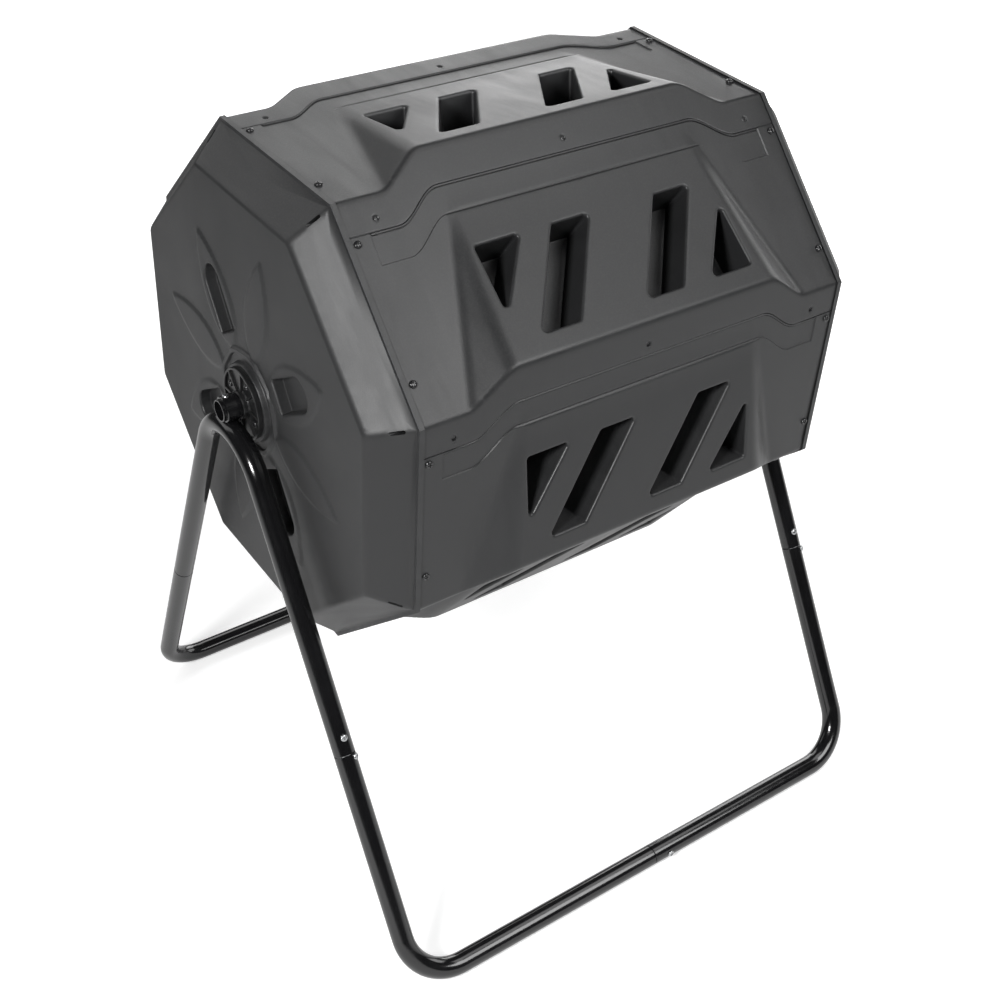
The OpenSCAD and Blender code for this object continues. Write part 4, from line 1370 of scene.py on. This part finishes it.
class TUMBLER_OT_stand(bpy.types.Operator):
    """Make the bent tubes, the sleeves and the axle"""
    bl_idname = "tumbler.stand"
    bl_label = "Stand"

    def execute(self, context):
        sizes = context.scene.tumbler_stand
        stand = Stand(sizes)
        for side, name in SIDE_NAMES.items():
            ends = [stand.on_leg(side, end, sizes.leg_joint - JOINT_GAP) for end in END_NAMES]
            mesh = tube(bent_path(ends[0], stand.apex(side), ends[1], stand.apex_bend()),
                        sizes.tube, sizes.wall)
            self.saddle(mesh)
            piece(f"apex_{name}", mesh, finish("paint"), "stand", "stand_tube", f"apex_tube_{name}")
            for end, end_name in END_NAMES.items():
                self.corner(stand, side, end, f"{end_name}_{name}")
            self.sleeve(side, name)
        reach = leg_x + AXLE_PAST
        path = [Vector((x, 0, axle_z)) for x in (-reach, 0, reach)]
        axle = tube(path, AXLE_R, sizes.wall, 0.0003, 48)
        piece("axle_tube", axle, finish("axle"), "stand", "axle_tube", "axle")
        for end in END_NAMES.values():
            for side in SIDE_NAMES.values():
                self.repaint(f"leg_coupler_{end}_{side}", "steel")
        return {"FINISHED"}

    def corner(self, stand, side, end, name):
        """A lower leg that bends into half a floor bar; the left ones have a spigot."""
        sizes = stand.s
        start = stand.on_leg(side, end, sizes.leg_joint + JOINT_GAP)
        stop = Vector((sizes.bar_joint + side * JOINT_GAP, end * sizes.bar, sizes.tube))
        parts = [tube(bent_path(start, stand.corner(side, end), stop, sizes.bend),
                      sizes.tube, sizes.wall)]
        if side < 0:
            bore = sizes.tube - sizes.wall - 0.0001
            parts.append(tube([stop - Vector((SPIGOT_IN, 0, 0)), stop + Vector((SPIGOT_OUT, 0, 0))],
                              bore, sizes.wall))
        piece(f"corner_{name}", join("corner", parts), finish("paint"), "stand", "stand_tube",
              f"corner_tube_{name}")

    def saddle(self, mesh):
        """Keeps the bend out of the sleeve's bore."""
        limit = SLEEVE_R - 0.0013
        for v in mesh.vertices:
            off = Vector((0, v.co.y, v.co.z - axle_z))
            if off.length < limit:
                v.co = Vector((v.co.x, 0, axle_z)) + off.normalized() * limit

    def sleeve(self, side, name):
        x0, x1 = leg_x - 0.0125, leg_x + 0.006
        r, bore, soft = SLEEVE_R, AXLE_R + 0.0001, 0.0007
        mesh = on_side(lathe([(x0, bore), (x0, r - soft), (x0 + soft, r), (x1 - soft, r),
                              (x1, r - soft), (x1, bore)], 56), side)
        mesh.transform(Matrix.Translation((0, 0, axle_z)))
        piece(f"sleeve_{name}", mesh, finish("paint"), "stand", "stand_tube", f"axle_sleeve_{name}")

    def repaint(self, node, name):
        obj = frame["nodes"][node]
        obj.data.materials.clear()
        obj.data.materials.append(finish(name))
        obj.data.shade_smooth()


HUB_SCREWS = 0.030
SEAM_SUNK = 0.0022


class TUMBLER_OT_screws(bpy.types.Operator):
    """Make every screw"""
    bl_idname = "tumbler.screws"
    bl_label = "Screws"

    def execute(self, context):
        drum, sizes = context.scene.tumbler_drum, context.scene.tumbler_stand
        stand = Stand(sizes)
        top = drum.apothem * math.tan(STEP / 2)
        legs = [p for side in SIDE_NAMES for end in END_NAMES for p in stand.leg_screws(side, end)]
        self.bright("leg_joint_screws", legs, 0.005, "leg_screws")
        bars = [(Vector((sizes.bar_joint + 0.023, end * (sizes.bar + sizes.tube), sizes.tube)),
                 Vector((0, end, 0))) for end in END_NAMES]
        self.bright("bar_joint_screws", bars, 0.005, "bar_screws")
        tops = [(Vector((side * leg_x, 0, axle_z + SLEEVE_R)), Vector((0, 0, 1))) for side in SIDE_NAMES]
        self.bright("sleeve_screws", tops, 0.004, "axle_screws")
        caps, seams, middles, hubs = [], [], [], []
        for k in range(SIDES):
            m = face_matrix(drum, k)
            out = (m.to_3x3() @ Vector((0, 0, 1))).normalized()
            caps += [(m @ Vector((s * (panel_half - 0.010), t * (top - 0.044), 0)), out)
                     for s in SIDE_NAMES for t in (-1, 1)]
            seams += [(m @ Vector((s * (panel_half - SEAM_END), top - SEAM_BELOW, -SEAM_SUNK)), out)
                      for s in SIDE_NAMES]
            middles.append((m @ Vector((0, top + MIDDLE_ABOVE, -SEAM_SUNK)), out))
        self.black("cap_fixings", caps, 0.0042, 0.0026, 0.010, "cap_screws")
        self.black("seam_fixings", seams, 0.0024, 0.0008, 0.006, "seam_screws")
        self.black("divider_fixings", middles, 0.0024, 0.0008, 0.009, "divider_screws")
        face = panel_half + drum.cap_depth + HUB_SEAT + 0.003
        for side in SIDE_NAMES:
            for k in range(4):
                a = drum.roll + k * math.pi / 2 + STEP / 2
                at = Vector((side * face, -HUB_SCREWS * math.sin(a), axle_z + HUB_SCREWS * math.cos(a)))
                hubs.append((at, Vector((side, 0, 0))))
        self.black("hub_fixings", hubs, 0.0040, 0.0024, 0.012, "hub_screws")
        return {"FINISHED"}

    def bright(self, name, places, shank, node):
        screws(name, places, 0.0042, 0.0024, shank, finish("zinc"), "stand", "bright_screw", node)

    def black(self, name, places, radius, head, shank, node):
        screws(name, places, radius, head, shank, finish("oxide"), "drum", "black_screw", node)


CAMERA_AT = (-0.905601, -1.303702, 1.437770)
CAMERA_SHIFT = (0.0229, -0.0371)
MIDDLE = Vector((0, 0, 0.55))
LEFT_END = Vector((-0.3, -0.2, 0.8))
FLOOR_HALF = 30
GLOW_NEAR, GLOW_FAR = 0.9, 3.2


def bearing(azimuth, elevation):
    """The direction of something seen that far round and that high up."""
    flat = math.cos(elevation)
    return Vector((math.sin(azimuth) * flat, -math.cos(azimuth) * flat, math.sin(elevation)))


class TUMBLER_OT_stage(bpy.types.Operator):
    """Make the floor, the lights and the camera"""
    bl_idname = "tumbler.stage"
    bl_label = "Stage"

    def execute(self, context):
        settings = context.scene.tumbler_stage
        corners = [(-1, -1), (1, -1), (1, 1), (-1, 1)]
        floor_mesh = new_mesh("floor", [(x * FLOOR_HALF, y * FLOOR_HALF, 0) for x, y in corners],
                              [(0, 1, 2, 3)])
        material, tree, shader, vector = start_material("Pale floor")
        clouds = noise(tree, 0.6, 2)
        tree.links.new(vector, clouds.inputs["Vector"])
        tree.links.new(mix_colour(tree, clouds.outputs["Fac"], (0.90, 0.90, 0.90), (0.93, 0.93, 0.93)),
                       shader.inputs["Base Color"])
        shader.inputs["Roughness"].default_value = 0.7
        shader.inputs["Emission Color"].default_value = (1, 1, 1, 1)
        seen = tree.nodes.new("ShaderNodeLightPath").outputs["Is Camera Ray"]
        reach = tree.nodes.new("ShaderNodeVectorMath")
        reach.operation = "LENGTH"
        tree.links.new(vector, reach.inputs[0])
        glow = ramp(tree, reach.outputs["Value"], GLOW_NEAR, GLOW_FAR, settings.glow, 1.0)
        tree.links.new(math_node(tree, "MULTIPLY", seen, glow), shader.inputs["Emission Strength"])
        floor_mesh.materials.append(material)
        linked("floor", floor_mesh)
        world = bpy.data.worlds.new("Studio")
        world.use_nodes = True
        tree = world.node_tree
        sky = tree.nodes["Background"]
        sky.inputs["Color"].default_value = (1, 1, 1, 1)
        view = tree.nodes.new("ShaderNodeLightPath").outputs["Is Camera Ray"]
        tree.links.new(ramp(tree, view, 0, 1, settings.sky, 1.0), sky.inputs["Strength"])
        context.scene.world = world
        context.scene.view_settings.view_transform = "Standard"
        self.light("front", 22.5, 35, settings.front)
        self.light("right", 90, 12, settings.right)
        self.light("back", 135, 12, settings.back)
        self.light("high", 157.5, 35, settings.high)
        self.light("over", 60, 60, settings.over)
        self.light("rear", 212, 32, settings.rear, away=3.2, size=2.2)
        self.light("side", 299.5, 27, settings.side, LEFT_END, 2.0, 0.45)
        self.camera(context, settings)
        return {"FINISHED"}

    def light(self, name, azimuth, elevation, power, target=MIDDLE, away=3.0, size=1.5):
        data = bpy.data.lights.new(name, "AREA")
        data.energy, data.size = power, size
        obj = linked(name, data)
        obj.location = target + bearing(math.radians(azimuth), math.radians(elevation)) * away
        obj.rotation_euler = (target - obj.location).to_track_quat("-Z", "Y").to_euler()

    def camera(self, context, settings):
        az, el, roll = settings.azimuth, settings.elevation, settings.roll
        back = bearing(az, el)
        right = (-back).cross(Vector((0, 0, 1))).normalized()
        up = right.cross(-back)
        right_rolled = right * math.cos(roll) + up * math.sin(roll)
        up_rolled = up * math.cos(roll) - right * math.sin(roll)
        data = bpy.data.cameras.new("camera")
        data.lens = settings.lens
        data.shift_x, data.shift_y = CAMERA_SHIFT
        data.clip_start, data.clip_end = 0.05, 100
        camera = linked("camera", data)
        rotation = Matrix((right_rolled, up_rolled, back)).transposed()
        camera.matrix_world = Matrix.Translation(CAMERA_AT) @ rotation.to_4x4()
        context.scene.camera = camera


OPERATORS = (TUMBLER_OT_stage, TUMBLER_OT_panels, TUMBLER_OT_door_panel, TUMBLER_OT_doors,
             TUMBLER_OT_end_caps, TUMBLER_OT_hubs, TUMBLER_OT_divider, TUMBLER_OT_stand, TUMBLER_OT_screws)


class TUMBLER_PT_panel(bpy.types.Panel):
    """Sizes, finishes and buttons of the tumbler"""
    bl_idname = "TUMBLER_PT_panel"
    bl_label = "Compost Tumbler"
    bl_space_type = "VIEW_3D"
    bl_region_type = "UI"
    bl_category = "Tumbler"

    def draw(self, context):
        layout = self.layout
        for settings in (context.scene.tumbler_drum, context.scene.tumbler_stand,
                         context.scene.tumbler_finishes, context.scene.tumbler_stage):
            box = layout.box()
            for name in settings.bl_rna.properties.keys():
                if name not in ("rna_type", "name"):
                    box.prop(settings, name)
        for operator in OPERATORS:
            layout.operator(operator.bl_idname)


SETTINGS = {"tumbler_drum": DrumSizes, "tumbler_stand": StandSizes,
            "tumbler_finishes": Finishes, "tumbler_stage": StageSettings}


def register():
    for cls in (*SETTINGS.values(), *OPERATORS, TUMBLER_PT_panel):
        bpy.utils.register_class(cls)
    for name, cls in SETTINGS.items():
        setattr(bpy.types.Scene, name, PointerProperty(type=cls))


def unregister():
    for name in SETTINGS:
        delattr(bpy.types.Scene, name)
    for cls in (TUMBLER_PT_panel, *reversed(OPERATORS), *reversed(list(SETTINGS.values()))):
        bpy.utils.unregister_class(cls)


def main():
    register()
    for operator in OPERATORS:
        name = operator.bl_idname.split(".")[1]
        getattr(bpy.ops.tumbler, name)()


if __name__ == "__main__":
    main()
